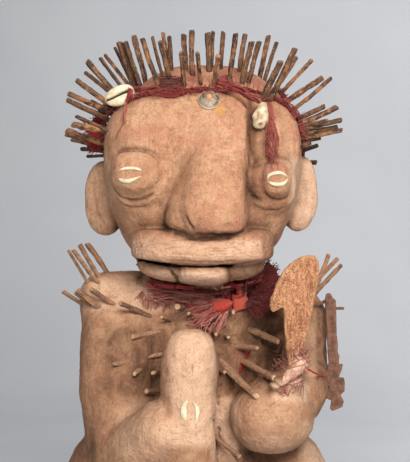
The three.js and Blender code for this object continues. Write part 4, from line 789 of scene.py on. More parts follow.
PEGS = [      # name, foot on the wood, tip, root inside it, radius, in mm
    ("head_peg_left_1", (-88.9, -19.8, 465.1), (-110.2, -17.8, 491.3), (-73.2, -21.3, 445.7), 2.44),
    ("L02", (-91.7, -22.0, 464.8), (-112.9, -10.0, 481.7), (-68.8, -35.0, 446.6), 1.97),
    ("head_peg_left_2", (-93.4, -23.9, 453.2), (-119.3, -23.9, 472.4), (-76.5, -23.9, 440.7), 2.62),
    ("head_peg_left_3", (-95.9, -25.4, 445.7), (-127.3, -19.4, 460.8), (-78.1, -28.8, 437.1), 2.34),
    ("head_peg_left_4", (-99.1, -26.1, 439.7), (-127.4, -32.1, 453.6), (-81.5, -22.4, 431.1), 2.52),
    ("L06", (-95.3, -25.5, 447.2), (-107.3, -9.5, 454.7), (-89.7, -33.0, 443.6), 1.87),
    ("L07", (-102.9, -39.7, 430.7), (-119.5, -29.7, 438.6), (-67.9, -60.7, 414.0), 1.85),
    ("head_peg_left_5", (-107.2, -45.8, 426.8), (-120.5, -49.8, 429.5), (-80.8, -38.0, 421.5), 2.30),
    ("head_peg_left_6", (-105.3, -23.8, 417.2), (-128.9, -19.8, 426.3), (-83.2, -27.5, 408.8), 2.44),
    ("L10", (-110.4, 11.0, 416.9), (-132.4, 3.0, 424.6), (-84.5, 20.4, 407.8), 2.22),
    ("L11", (-108.4, 11.3, 415.3), (-129.0, 23.3, 420.5), (-85.7, -2.0, 409.5), 1.74),
    ("L12", (-107.1, 13.8, 410.3), (-120.7, 27.8, 412.3), (-85.7, -8.4, 407.2), 1.74),
    ("head_peg_left_7", (-99.7, 15.7, 404.8), (-115.1, 33.7, 405.4), (-85.5, -1.0, 404.3), 1.74),
    ("head_peg_top_1", (-81.5, -13.0, 471.6), (-98.9, -11.0, 495.4), (-67.3, -14.6, 452.3), 2.03),
    ("T02", (-75.6, -9.9, 474.6), (-94.9, -1.9, 499.4), (-61.9, -15.6, 457.1), 2.04),
    ("T03", (-71.7, -7.9, 476.8), (-85.9, 2.1, 507.0), (-62.7, -14.2, 457.7), 1.71),
    ("head_peg_top_2", (-67.9, -5.2, 473.3), (-80.5, -13.2, 509.1), (-63.1, -2.2, 459.5), 3.09),
    ("head_peg_top_3", (-61.6, -11.5, 469.2), (-74.2, -21.5, 508.6), (-59.3, -9.6, 461.7), 2.46),
    ("head_peg_top_4", (-58.7, -3.6, 480.6), (-67.6, 0.4, 517.5), (-55.2, -5.2, 466.1), 2.57),
    ("head_peg_top_5", (-43.1, -46.3, 463.9), (-56.6, -56.3, 506.3), (-40.7, -44.6, 456.4), 2.57),
    ("T08", (-39.9, -26.6, 476.9), (-49.2, -22.6, 513.3), (-37.7, -27.5, 468.2), 1.87),
    ("head_peg_top_6", (-33.0, -37.0, 473.3), (-41.1, -45.0, 505.3), (-31.1, -35.1, 465.7), 2.78),
    ("T10", (-34.3, -17.1, 482.7), (-39.6, -11.1, 518.8), (-33.0, -18.5, 474.0), 2.17),
    ("head_peg_top_7", (-31.5, -21.0, 482.2), (-33.5, -19.0, 513.8), (-30.9, -21.5, 473.3), 2.35),
    ("head_peg_top_8", (-18.5, -52.8, 465.0), (-21.6, -70.8, 491.8), (-17.7, -48.4, 458.4), 2.10),
    ("head_peg_top_9", (-18.2, -26.7, 482.4), (-20.0, -23.7, 515.1), (-17.7, -27.6, 473.5), 2.34),
    ("head_peg_top_10", (-11.2, -39.0, 476.2), (-12.2, -39.0, 516.2), (-11.0, -39.0, 467.3), 2.50),
    ("head_peg_top_11", (-3.7, -52.8, 465.7), (-6.8, -70.8, 491.6), (-3.0, -48.2, 459.1), 1.92),
    ("head_peg_upper_1", (4.1, -30.5, 481.5), (2.5, -27.5, 516.0), (4.5, -31.3, 472.5), 2.56),
    ("R02", (5.4, -23.9, 484.7), (7.6, -15.9, 519.0), (4.9, -25.9, 475.9), 1.97),
    ("head_peg_upper_2", (14.4, -23.9, 484.2), (17.0, -21.9, 517.6), (13.8, -24.4, 476.2), 2.53),
    ("head_peg_upper_3", (8.6, -54.6, 464.0), (11.8, -72.6, 488.2), (7.7, -49.9, 457.6), 2.55),
    ("head_peg_upper_4", (22.1, -52.8, 464.2), (27.7, -60.8, 509.9), (21.0, -51.3, 455.4), 2.56),
    ("head_peg_upper_5", (32.1, -21.9, 481.7), (37.8, -17.9, 516.3), (30.6, -22.9, 472.8), 2.25),
    ("head_peg_upper_6", (33.9, -45.4, 467.5), (42.6, -51.4, 504.2), (31.9, -44.0, 458.9), 2.30),
    ("R08", (39.6, -40.7, 468.7), (49.8, -42.7, 505.8), (37.2, -40.2, 460.1), 2.12),
    ("head_peg_upper_7", (52.4, -3.3, 480.7), (60.4, -1.3, 517.3), (50.1, -3.9, 469.9), 2.57),
    ("R10", (56.8, -3.0, 476.4), (68.3, 1.0, 511.7), (53.7, -4.1, 467.0), 2.38),
    ("head_peg_upper_8", (58.1, -55.6, 450.9), (81.1, -65.6, 495.5), (54.5, -54.1, 444.0), 3.01),
    ("R12", (53.0, -57.5, 451.9), (67.3, -73.5, 482.7), (50.0, -54.1, 445.4), 3.09),
    ("R13", (64.5, -25.9, 462.0), (85.2, -23.9, 493.8), (60.2, -26.4, 455.3), 2.57),
    ("head_peg_right_1", (74.9, -7.8, 465.5), (101.2, -5.8, 493.9), (65.4, -8.5, 455.2), 2.18),
    ("head_peg_right_2", (80.5, -11.2, 456.4), (110.4, -11.2, 476.7), (70.5, -11.2, 449.7), 2.46),
    ("head_peg_right_3", (86.8, -16.9, 449.1), (119.1, -10.9, 476.5), (76.2, -18.9, 440.2), 2.17),
    ("F04", (91.5, -18.4, 439.3), (111.3, -22.4, 448.5), (79.9, -16.0, 433.9), 2.35),
    ("head_peg_right_4", (94.4, -18.2, 434.6), (123.6, -14.2, 448.3), (80.9, -20.0, 428.3), 2.35),
    ("F06", (96.3, -17.9, 428.8), (128.0, -9.9, 437.0), (81.3, -21.7, 424.9), 2.35),
    ("F07", (96.0, -18.0, 430.8), (113.8, -26.0, 434.9), (81.7, -11.6, 427.6), 1.98),
    ("head_peg_right_5", (94.7, -14.1, 420.5), (128.7, -12.1, 427.2), (83.0, -14.8, 418.2), 2.46),
    ("F09", (95.3, -15.4, 424.0), (124.8, -3.4, 430.8), (82.6, -20.5, 421.0), 2.17),
    ("F10", (93.0, -11.6, 415.9), (109.4, -1.6, 420.4), (83.1, -17.7, 413.1), 1.99),
    ("F11", (90.1, -24.1, 411.1), (99.1, -8.1, 415.0), (77.6, -46.3, 405.8), 1.97),
    ("S01", (-110.0, -16.1, 282.4), (-129.3, -8.1, 313.0), (-93.9, -22.8, 256.8), 1.70),
    ("shoulder_peg_1", (-100.1, -22.2, 283.4), (-122.9, -24.2, 313.7), (-91.7, -21.5, 272.2), 2.16),
    ("S03", (-100.2, -13.0, 288.8), (-118.6, -9.0, 318.2), (-96.0, -13.9, 282.1), 1.99),
    ("shoulder_peg_2", (-93.2, -1.3, 292.1), (-112.1, -1.3, 319.2), (-88.0, -1.3, 284.7), 2.20),
    ("shoulder_peg_3", (-115.0, -16.6, 262.3), (-133.7, -12.6, 274.3), (-103.4, -19.1, 254.8), 1.88),
    ("S06", (-107.1, -24.9, 262.1), (-120.2, -32.9, 273.9), (-100.3, -20.8, 256.0), 2.15),
    ("shoulder_peg_4", (-97.4, -30.2, 260.9), (-117.3, -36.2, 276.8), (-88.2, -27.4, 253.7), 2.33),
    ("S08", (-86.6, -30.2, 264.2), (-104.6, -42.2, 277.8), (-76.8, -23.6, 256.7), 2.14),
    ("shoulder_peg_5", (-54.9, -30.9, 254.3), (-76.6, -54.9, 265.7), (-44.8, -19.7, 248.9), 2.51),
    ("shoulder_peg_6", (108.8, 9.0, 281.0), (119.2, 15.0, 308.2), (102.5, 5.4, 264.5), 2.21),
    ("S11", (109.3, 10.2, 285.3), (127.1, 10.2, 305.0), (94.6, 10.2, 268.9), 2.22),
    ("S12", (110.5, 8.7, 277.1), (131.0, 12.7, 298.5), (100.2, 6.7, 266.4), 2.21),
    ("C01", (-31.3, -28.3, 249.1), (-39.7, -40.3, 252.2), (-26.8, -21.9, 247.5), 2.33),
    ("chest_peg_left_1", (-19.6, -27.4, 259.3), (-25.2, -47.4, 262.2), (-17.7, -20.7, 258.4), 2.61),
    ("C03", (-11.2, -29.7, 253.7), (-14.8, -41.7, 255.8), (-9.2, -23.1, 252.5), 2.33),
    ("C04", (-47.1, -28.8, 236.5), (-66.4, -42.8, 234.5), (-38.2, -22.4, 237.4), 2.43),
    ("chest_peg_left_2", (-47.8, -31.7, 215.9), (-83.6, -43.7, 209.7), (-29.1, -25.5, 219.1), 2.05),
    ("C06", (-60.7, -45.7, 203.3), (-64.0, -51.7, 201.7), (-47.4, -21.9, 209.7), 2.30),
    ("chest_peg_left_3", (-42.4, -30.1, 200.8), (-47.2, -46.1, 201.7), (-40.4, -23.4, 200.4), 2.80),
    ("C08", (-44.8, -29.4, 182.4), (-53.4, -43.4, 184.3), (-40.0, -21.8, 181.3), 2.80),
    ("C11", (6.5, -31.7, 239.0), (9.9, -43.7, 236.9), (4.7, -25.1, 240.1), 1.95),
    ("C12", (18.6, -32.1, 235.3), (21.4, -44.1, 234.1), (16.8, -24.4, 236.0), 1.95),
    ("D01", (22.9, -26.5, 259.1), (26.1, -40.5, 257.2), (21.1, -18.8, 260.1), 2.06),
    ("chest_peg_right_1", (43.0, -27.5, 239.0), (66.0, -49.5, 230.9), (36.6, -21.4, 241.2), 2.89),
    ("chest_peg_right_2", (30.7, -31.3, 224.5), (47.1, -51.3, 224.8), (25.6, -25.1, 224.4), 2.89),
    ("chest_peg_right_3", (38.2, -30.1, 208.8), (62.5, -56.1, 198.4), (33.0, -24.5, 211.1), 2.61),
    ("D05", (23.1, -39.5, 201.7), (46.1, -65.5, 183.5), (11.4, -26.3, 211.0), 2.96),
    ("D06", (15.8, -34.4, 210.7), (31.1, -56.4, 197.2), (10.2, -26.3, 215.6), 2.60),
    ("D07", (12.9, -45.1, 204.2), (17.7, -57.1, 203.7), (5.5, -26.6, 204.9), 1.93),
    ("D09", (13.4, -57.9, 141.4), (30.2, -73.9, 130.3), (-14.7, -31.2, 160.0), 2.46),
    ("key_peg_1", (101.1, -17.5, 260.5), (119.2, -15.5, 268.2), (92.0, -18.5, 256.6), 1.79),
    ("K02", (111.0, -8.4, 258.0), (130.8, -8.4, 258.5), (102.0, -8.4, 257.7), 1.71),
    ("head_peg_back_1", (56.1, 74.9, 369.2), (74.9, 97.2, 379.6), (50, 68, 366), 2.40),
    ("head_peg_back_2", (-2.7, 86.3, 360.8), (-3.8, 116.3, 368.7), (-2.4, 78, 358.5), 2.40),
    ("head_peg_back_3", (-58.8, 73.3, 370.3), (-78.3, 94.9, 381.0), (-52, 66, 367), 2.40),
]
NODES = set(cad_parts)
BANK = {"pegs_head_left": "L", "pegs_head_top": "T", "pegs_head_upper": "R", "pegs_head_right": "F", "pegs_head_back": "B", "pegs_shoulder": "S", "pegs_chest": "CD", "pegs_key": "K"}
CADBANK = {"head_peg_left": "L", "head_peg_top": "T", "head_peg_upper": "R", "head_peg_right": "F", "head_peg_back": "B", "shoulder_peg": "S", "chest_peg_left": "C", "chest_peg_right": "D", "key_peg": "K"}


def bank_of(name):
    return CADBANK[name.rsplit("_", 1)[0]] if "_" in name else name[0]


def clear_of_wood(p, r):
    """moves a peg's tip along the line of sight until it is out of the wood"""
    p = np.array(p, float); d = unit(np.array([0, EYE_Y, EYE_Z]) - p)
    for _ in range(60):
        if height(p)[0] > 0.75 * r:
            break
        p = p + d * 0.7
    return p


back_pegs = []
for i, turn in enumerate(np.radians([14, 26, 38, 52, 63, 78, 97, 113, 126, 141, 153, 166])):
    d = np.array([math.cos(turn), math.sin(turn), 0]); c = np.array([0, 8, 417.6]); along = unit(np.array([d[0], d[1] * 0.85, -0.62 * 0.85 * d[1]]))
    q = c + along * 40
    for _ in range(200):
        if height(q)[0] > 0.5:
            break
        q = q + along
    n_ = unit(normal(q)[0] + 0.2 * np.array([0, 0, 1]) + 0.2 * along)
    q = q + np.array([0, 0, 4.0])
    back_pegs.append(("B%02d" % i, q, q + n_ * (20.5 + 4.5 * math.sin(i * 2.4)), q - n_ * 12, 2.3 + 0.3 * math.sin(i * 1.7)))
for piece, letters in BANK.items():
    b = Batch(); stood = []
    for i, (name, foot, tip, root, r) in enumerate(PEGS + back_pegs):
        L_ = bank_of(name)
        if L_ not in letters:
            continue
        body = L_ in "SCDK"
        if body:
            tip = clear_of_wood(tip, r)
        stick(b, root, tip, r, 100 + i, coat=(0.95 if L_ in "CD" else 0.55 if L_ == "S" else 0.3 if L_ == "K" else 0.0), pale=(0.95 if L_ in "CD" else 0.45 if L_ == "S" else 0.15), tipdark=0.15 if body else 0.75, bend=1.0)
        if name in NODES:
            stood.append(name)
    o = b.make(piece, PEG, smooth=False)
    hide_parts(*stood)


# ------------------------------------------------------------------ red cloth, yarn and thread
def cloth_look(name, a, b, hot, weave=0.42, rough_=0.95):
    """woven cloth: uv attribute in mm along and across"""
    k = Look(name)
    uv = k.attr("uv", "Vector")
    warp_ = k.wave(weave, uv, "X", 0.6, 2, 1.5); weft = k.wave(weave, uv, "Y", 0.6, 2, 1.5)
    cloth = k.math("MULTIPLY", warp_, weft)
    big = k.noise(70, detail=4, rough=0.6)
    c = k.mix(k.ease(big, 0.32, 0.66), a, b)
    c = k.mix(k.ease(k.noise(420, detail=3), 0.5, 0.72, 0, 0.6), c, hot)
    c = k.mix(k.ease(cloth, 0.05, 0.5, 0.62, 0.0), c, tuple(v * 0.3 for v in a[:3]) + (1,))
    c = k.mix(k.ease(k.noise(900, detail=2), 0.64, 0.72, 0, 0.5), c, srgb(206, 150, 134))   # dust and lint
    n = k.bump(cloth, 0.5, 0.9); n = k.bump(k.noise(700, detail=4), 0.5, 0.6, n)
    k.s.inputs["Sheen Weight"].default_value = 0.08; k.s.inputs["Sheen Roughness"].default_value = 0.5
    return k.done(c, k.ease(big, 0.3, 0.7, rough_ - 0.1, rough_), n, Specular_IOR_Level=0.15)


def yarn_look(name, a, b):
    k = Look(name)
    uv = k.attr("uv", "Vector")
    ply = k.wave(0.75, k.stretch(uv, (1, 1, 1), (0, 0, 38)), "X", 0.5, 2, 2.0)
    c = k.mix(k.ease(k.noise(120, detail=3), 0.35, 0.65), a, b)
    c = k.mix(k.attr("tone"), c, tuple(min(1, v * 1.9) for v in b[:3]) + (1,))
    c = k.mix(k.ease(ply, 0.0, 0.6, 0.55, 0), c, tuple(v * 0.35 for v in a[:3]) + (1,))
    c = k.mix(k.ease(k.noise(800, detail=2), 0.62, 0.74, 0, 0.4), c, srgb(205, 145, 132))
    n = k.bump(ply, 0.35, 0.8)
    k.s.inputs["Sheen Weight"].default_value = 0.06
    return k.done(c, k.ease(k.noise(200), 0.3, 0.7, 0.84, 0.96), n, Specular_IOR_Level=0.15)


RED = cloth_look("band cloth", srgb(122, 40, 42), srgb(160, 64, 60), srgb(194, 98, 90))
STRAP = cloth_look("strap cloth", srgb(240, 88, 76), srgb(250, 132, 108), srgb(250, 166, 140), weave=0.5)
# a brighter copy of the red cloth for the hem: painted light where the hem lies in the lip's shade
HEMC = cloth_look("pale red cloth", srgb(226, 92, 88), srgb(248, 140, 126), srgb(250, 174, 156))
NIGHT = cloth_look("shaded cloth", srgb(92, 28, 34), srgb(134, 46, 48), srgb(166, 78, 74))
DARKRED = cloth_look("neck cloth", srgb(168, 56, 56), srgb(208, 90, 82), srgb(226, 134, 120))
YARN = yarn_look("red yarn", srgb(130, 46, 46), srgb(176, 84, 78))
PINK = yarn_look("faded thread", srgb(174, 84, 76), srgb(230, 150, 134))
HANG = yarn_look("hanging thread", srgb(138, 64, 56), srgb(184, 104, 92))
NETY = yarn_look("dark yarn", srgb(84, 34, 32), srgb(126, 60, 52))
BUNCH = cloth_look("bunched cloth", srgb(150, 38, 42), srgb(192, 60, 60), srgb(210, 98, 90))
RAG = yarn_look("rag thread", srgb(132, 78, 66), srgb(188, 132, 110))
BRIGHT = yarn_look("red thread", srgb(186, 34, 36), srgb(214, 52, 48))


def lay(P, lift):
    """puts points lift above the carving, by the grid"""
    P = np.array(P, float)
    lift = np.broadcast_to(np.asarray(lift, float), (len(P),))
    for _ in range(10):
        P = P + normal(P) * (lift - height(P))[:, None] * 0.75
    return P


def keep_out(P, lift):
    """pushes points out of the carving, and leaves the others where they are"""
    P = np.array(P, float)
    for _ in range(8):
        h = height(P); need = np.clip(lift - h, 0, None)
        if need.max() < 0.05:
            break
        P = P + normal(P) * need[:, None]
    return P


def thread(batch, P, r=0.5, n=None, k=5, tone=0.0, wob=0.0, seed=0, taper=0.35):
    P = np.asarray(P, float); L = np.linalg.norm(np.diff(P, axis=0), axis=1).sum()
    n = n or int(np.clip(L / 2.2, 4, 60)); C = smooth_path(P, n)
    if wob:
        t = np.linspace(0, 1, n)[:, None]
        C = C + wob * np.stack([noise(C + 31 * seed, 7, seed + s) for s in range(3)], 1) * np.clip(t * 3, 0, 1)
    R = r * (1 - taper * np.linspace(0, 1, n) ** 3); R[0] *= 0.8; R[-1] *= 0.5
    V, F = rope(C, R, k)
    s = np.linspace(0, L, n)
    uv = np.stack([np.repeat(s, k), np.tile(np.arange(k) * 2 * np.pi * r / k, n), np.full(n * k, float(seed))], 1)
    batch.add(V, F, uv=uv, tone=tone)


def sheet_mesh(name, G, mat, thick=0.7, extra=None, uv=None):
    """a closed thin sheet from a grid of points G (m, k, 3)"""
    m, k = G.shape[:2]
    du, dv = np.gradient(G, axis=0), np.gradient(G, axis=1)
    Nn = unit(np.cross(du, dv))
    V, F = strip(G, None, Nn, thick)
    if uv is None:
        lu = np.concatenate([[0], np.cumsum(np.linalg.norm(np.diff(G.mean(1), axis=0), axis=1))])
        lv = np.concatenate([[0], np.cumsum(np.linalg.norm(np.diff(G, axis=1), axis=2).mean(0))])
        uv = np.stack([np.repeat(lu, k), np.tile(lv, m), np.zeros(m * k)], 1)
    area = 0.0
    for i in (0,):
        a = G[1:, :-1] - G[:-1, :-1]; b = G[:-1, 1:] - G[:-1, :-1]
        area = np.linalg.norm(np.cross(a, b), axis=2).sum()
    o = make(name, V, F, mat, True, dict(uv=np.concatenate([uv, uv])))
    return o, area * 1e-6


rng = np.random.default_rng(7)
# --- head band: a ribbon that follows a plane tilted down to the nape
PLANE_C = np.array([0, 8, 417.6]); PLANE_F = unit(np.array([0, -1, 0.62])); PLANE_UP = unit(np.cross([1, 0, 0], PLANE_F))


def ring_point(t, lift=1.0):
    d = np.array([1.0, 0, 0]) * np.cos(t)[:, None] + PLANE_F * np.sin(t)[:, None]
    s = np.full(len(t), 40.0)
    for _ in range(60):
        h = height(PLANE_C + d * s[:, None])
        s = s + np.clip(lift - h, -2, 2.0) * 0.9
    return PLANE_C + d * s[:, None]


M = 300
t = 2 * np.pi * np.arange(M + 1) / M - np.pi / 2
RP = ring_point(t)
bx, by = seen(RP)
sag = np.where(RP[:, 1] < 0, -4.0 * np.exp(-((bx - 252) / 15) ** 2) + 3.2 * np.exp(-((bx - 172) / 13) ** 2), 0)      # dips where the shell hangs
RP = RP + PLANE_UP * (sag + 0.8 * noise(RP, 16, 41))[:, None]
RN = normal(RP); RT = unit(np.gradient(RP, axis=0)); RU = unit(np.cross(RN, RT)); RU *= np.sign((RU @ PLANE_UP))[:, None]
left_patch = np.exp(-((bx - 98) / 10) ** 2) * (RP[:, 1] < 40)
back = np.clip((RP[:, 1] - 6) / 26, 0, 1); lead = 1 - back                # narrow and gathered in front, flat round the back
half = 2.3 + 4.7 * back + 0.7 * noise(RP, 14, 42) + 3.4 * left_patch + 3.8 * lead * np.exp(-((bx - 172) / 12) ** 2)
K = 11
v = np.linspace(-1, 1, K)
G = RP[:, None] + RU[:, None] * (half[:, None] * v[None])[:, :, None]
flatG = G.reshape(-1, 3)
fold = 1.35 + 0.75 * np.sin(v * 5.2 + 2.2 * noise(RP, 30, 43)[:, None] * 2) + 0.8 * noise(flatG, (6, 6, 6), 44).reshape(M + 1, K)
proud = (5.5 * left_patch + 2.2 * np.exp(-((bx - 296) / 10) ** 2) * (RP[:, 1] < 40))[:, None] * (1 - 0.75 * v[None] ** 2)
fold = fold * (1 + 0.9 * left_patch[:, None]) + proud * (1 + 0.25 * noise(flatG, 7, 45).reshape(M + 1, K))
G = lay(flatG, np.maximum(fold.ravel(), 0.75)).reshape(M + 1, K, 3)
band, band_area = sheet_mesh("head_band_cloth", G, RED, 0.7)
band_long = np.linalg.norm(np.diff(G.mean(1), axis=0), axis=1).sum() / 1000
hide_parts("head_band")

yarns = Batch()
for j, (turns, ph, r, up, out) in enumerate(((13, 0.0, 0.62, 1.5, 1.1), (9, 2.1, 0.52, 2.0, 1.0), (4, 1.0, 0.5, 3.0, 0.8))):
    a = turns * t + ph
    P = RP + RU * (up * np.cos(a) + 1.2 * noise(RP, 12, 50 + j))[:, None]
    P = lay(P, 2.2 + out * 0.5 * (1 + np.sin(a)) + proud.max(1))
    thread(yarns, P[:-1], r * 0.8, n=420, k=6, tone=0.12 * j, seed=60 + j, taper=0)
for j in range(260):                                                    # short frayed fibres along the band
    i = int(rng.integers(0, M)); 
    if rng.random() < 0.65:
        i = int(np.argmin(np.abs(bx - rng.uniform(128, 232)) + 1000 * (RP[:, 1] > 0)))
    p = RP[i] + RU[i] * rng.uniform(-3, 8)
    d = RT[i] * rng.normal() + RU[i] * rng.normal() * 0.9 + RN[i] * 0.7
    q = p + unit(d) * rng.uniform(4, 9)
    thread(yarns, keep_out(np.array([p + RN[i] * 1.5, (p + q) / 2 + RN[i] * rng.uniform(1, 3), q + RN[i]]), 0.8), rng.uniform(0.25, 0.42), n=5, k=4, tone=rng.uniform(0, 0.5), seed=j)
yarn_piece = yarns.make("head_band_yarn", YARN)


def over(px_list, lift=1.2, n=None):
    """a line of pixels laid on the carving"""
    P = sight(px_list); P = smooth_path(P, n or max(6, 4 * len(P)))
    return lay(P, lift)


loops = Batch()          # loose yarns between the stud and the shell, with small loops above them
for j in range(7):
    dy = rng.normal(0, 1.1)
    P = over([(214 + rng.uniform(-3, 3), 84 + dy), (226, 87.5 + dy), (238, 93 + dy), (249, 99 + dy), (259 + rng.uniform(-2, 2), 104.5 + dy * 0.5)], 2.0 + 0.8 * j * 0.5)
    thread(loops, P, rng.uniform(0.55, 0.9), k=6, tone=rng.uniform(0, 0.35), wob=1.3, seed=200 + j)
for j in range(9):
    x = rng.uniform(216, 256); y = 82 + (x - 216) * 0.5
    s = rng.uniform(3, 7)
    P = over([(x, y + 3), (x - 2, y - s), (x + 3, y - s * 1.25), (x + 6, y - s * 0.3), (x + 8, y + 4)], 3.0)
    thread(loops, P, 0.4, k=5, tone=rng.uniform(0.1, 0.6), wob=1.0, seed=230 + j)
for j in range(6):       # from the shell on to the right temple
    P = over([(262, 103), (268, 97 + j * 0.5), (275, 91.5), (281, 93.5), (289, 102)], 1.8 + 0.3 * j)
    thread(loops, P, rng.uniform(0.45, 0.8), k=5, tone=rng.uniform(0, 0.5), wob=1.0, seed=250 + j)
for j in range(6):       # the roll beside the cowrie
    dy = rng.normal(0, 0.9)
    P = over([(126, 91.5 + dy), (134, 91.5 + dy * 1.6), (142, 90.8 - dy), (150, 90.4 + dy), (159, 90 - dy * 0.5)], 2.4)
    thread(loops, P, rng.uniform(0.7, 1.05), k=6, tone=rng.uniform(0, 0.35), wob=1.2, seed=270 + j)
net = Batch()
for j in range(13):      # the net beside the roll
    x = 158.5 + 2.2 * j
    thread(net, over([(x, 79.5 + rng.uniform(-1, 1)), (x + 1.2, 84.5), (x + 0.6, 90.5)], 2.4), 0.5, k=5, tone=rng.uniform(0, 0.25), wob=0.5, seed=360 + j)
for j in range(8):
    y = 79.2 + 1.6 * j
    thread(net, over([(159, y + 0.6), (167, y), (176, y + 0.3), (186, y + 0.8)], 2.7), 0.5, k=5, tone=rng.uniform(0, 0.25), wob=0.6, seed=380 + j)
net_piece = net.make("band_net", NETY)
loops_piece = loops.make("band_loose_yarn", YARN)

xb, yb, zb = np.arange(-122, -84, 0.9), np.arange(-22, 26, 0.9), np.arange(392, 457, 0.9)   # the band is bunched up on the left temple
XB, YB, ZB = np.meshgrid(xb, yb, zb, indexing="ij"); BF = np.full(XB.shape, 30.0)
for c_, r_, rot_ in ((at(97, 141, 2), (9.0, 12, 9.5), (0, 10, 0)), (at(96.5, 130, 3), (8.5, 12, 9), (0, 14, 0)), (at(101, 119, 0), (6.5, 11, 9), (0, 24, 0)), (at(105, 111, -6), (5, 9, 7), (0, 30, 0))):
    BF = smin(BF, dist(bulge("add", tuple(c_), r_, 3, (2.1, 2.1), rot_), XB, YB, ZB), 3)
BP = np.stack([XB, YB, ZB], -1).reshape(-1, 3)
BF = BF + (1.5 * noise(BP, (6, 6, 4), 131) + 0.9 * noise(BP, 2.6, 132) - 0.5 * np.sin(ZB.ravel() * 1.15 + 2 * noise(BP, 9, 133))).reshape(XB.shape)
Vb, Fb = skin(BF.astype(np.float32), xb, yb, zb)
bunch = make("band_bunch_left", Vb, Fb, BUNCH, True, dict(uv=np.stack([Vb[:, 1] * 0.9 + Vb[:, 0] * 0.5, Vb[:, 2], Vb[:, 0] * 0], 1)))
fuzz = Batch()
for j in range(150):
    p = Vb[int(rng.integers(0, len(Vb)))]
    d = unit(np.array([-0.9 + rng.normal(0, 0.5), rng.normal(-0.2, 0.5), rng.normal(0, 0.9)])); ln = rng.uniform(3, 8)
    thread(fuzz, keep_out(np.array([p - d * 1.0, p + d * ln * 0.5 + rng.normal(0, 0.7, 3), p + d * ln + rng.normal(0, 1.4, 3)]), 0.4), rng.uniform(0.35, 0.6), n=6, k=4, tone=rng.uniform(0, 0.7), seed=1500 + j)
for j in range(90):      # and fuzzy along the right temple
    u = rng.random(); x = 279 + 23.5 * u ** 1.25; y = 89 + 49 * u
    p = sight([(min(x - 2.5, 299), y)])[0]; q = lay(p[None] + np.array([[1.0, rng.uniform(4, 12), 0]]), 1.5)[0]
    d = unit(np.array([0.8, rng.normal(-0.3, 0.4), rng.normal(0, 0.9)])); ln = rng.uniform(3, 6.5)
    thread(fuzz, keep_out(np.array([q, q + d * ln * 0.5 + rng.normal(0, 0.6, 3), q + d * ln + rng.normal(0, 1.1, 3)]), 0.4), rng.uniform(0.4, 0.75), n=6, k=4, tone=rng.uniform(0, 0.6), seed=1700 + j)
fuzz_piece = fuzz.make("band_fuzz", YARN)

tassel = Batch()         # the strands that hang beside the shell, and those at the cowrie
for j in range(44):
    u = rng.uniform(-1, 1); w0, w1 = 1.6, rng.uniform(2.8, 4.8)
    y1 = rng.uniform(146, 171) if j > 4 else rng.uniform(120, 140)
    f = (y1 - 107) / 64
    P = over([(268.3 + u * w0, 104), (270.2 + u * 2.2, 107 + 14 * f), (271 + u * w1, 107 + 32 * f), (271.6 + u * w1, 107 + 50 * f), (272.4 + u * w1 * 1.1, y1)], 1.0 + 1.3 * rng.random())
    thread(tassel, P, rng.uniform(0.32, 0.62), k=6, tone=rng.uniform(0.0, 0.75) ** 1.4, wob=2.2, seed=300 + 3 * j, taper=0.6)
for j in range(4):
    P = over([(131, 93), (128.5, 101), (127, 110), (124.5 + j * 0.6, 119 + 2 * j)], 2.0 + 1.4 * j * 0.5)
    thread(tassel, P, 0.75, k=6, tone=0.2 + 0.12 * j, wob=0.9, seed=330 + j)
P = over([(127, 108), (125, 118), (122, 128), (116.5, 139)], 1.2)
thread(tassel, P, 0.55, k=5, tone=0.35, wob=0.8, seed=340)
tassel_piece = tassel.make("hanging_strands", HANG)

# --- neck cloth: a gathered strip round the neck, a knot, a tuft and a fan
CN = np.array([(0, 60, 300), (-26, 54, 300), (-43, 38, 301), (-39, 16, 303), (-40, -8, 297), (-43, -29, 284), (-41, -44, 272), (-24, -49, 269), (0, -50, 265), (24, -49, 267), (44, -44, 275), (54, -26, 286), (55, 0, 292), (52, 24, 296), (42, 42, 298), (24, 55, 299), (0, 60, 300)], float)
NK = smooth_path(CN, 221)
for i in range(40):
    h = height(NK); NK = NK + normal(NK) * ((3.0 - h) * np.where(h < 3.0, 0.7, 0.15))[:, None]
    if i < 30:
        S = NK.copy(); S[1:-1] = NK[1:-1] * 0.6 + 0.2 * (NK[2:] + NK[:-2]); S[0] = S[-1] = NK[0] * 0.6 + 0.2 * (NK[1] + NK[-2]); NK = S
NT = unit(np.gradient(NK, axis=0)); NN = normal(NK); NU = unit(np.cross(NN, NT)); NU *= np.sign(NU[:, 2:3])
K = 23; v = np.linspace(-1, 1, K)
nh = 7.4 - 3.6 * np.exp(-((NK[:, 0] + 51) / 9) ** 2) * (NK[:, 1] < 14) + 1.2 * noise(NK, 18, 71) + 1.5 * np.exp(-((seen(NK)[0] - 170) / 22) ** 2) * (NK[:, 1] < 0)
pleat = np.sin(v[None] * 10.5 + 2.4 * noise(NK, 34, 72)[:, None] * 2) * (1.7 + 0.5 * noise(NK, 12, 73)[:, None])
G = NK[:, None] + NU[:, None] * (nh[:, None] * v[None])[:, :, None]
lift = 2.6 + pleat + 2.0 * (1 - v[None] ** 2) + 0.9 * noise(G.reshape(-1, 3), (5, 5, 5), 74).reshape(len(NK), K)
G = lay(G.reshape(-1, 3), np.maximum(lift.ravel(), 0.8)).reshape(len(NK), K, 3)
neck, neck_area = sheet_mesh("neck_cloth_strip", G, DARKRED, 0.7)
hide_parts("neck_cloth")


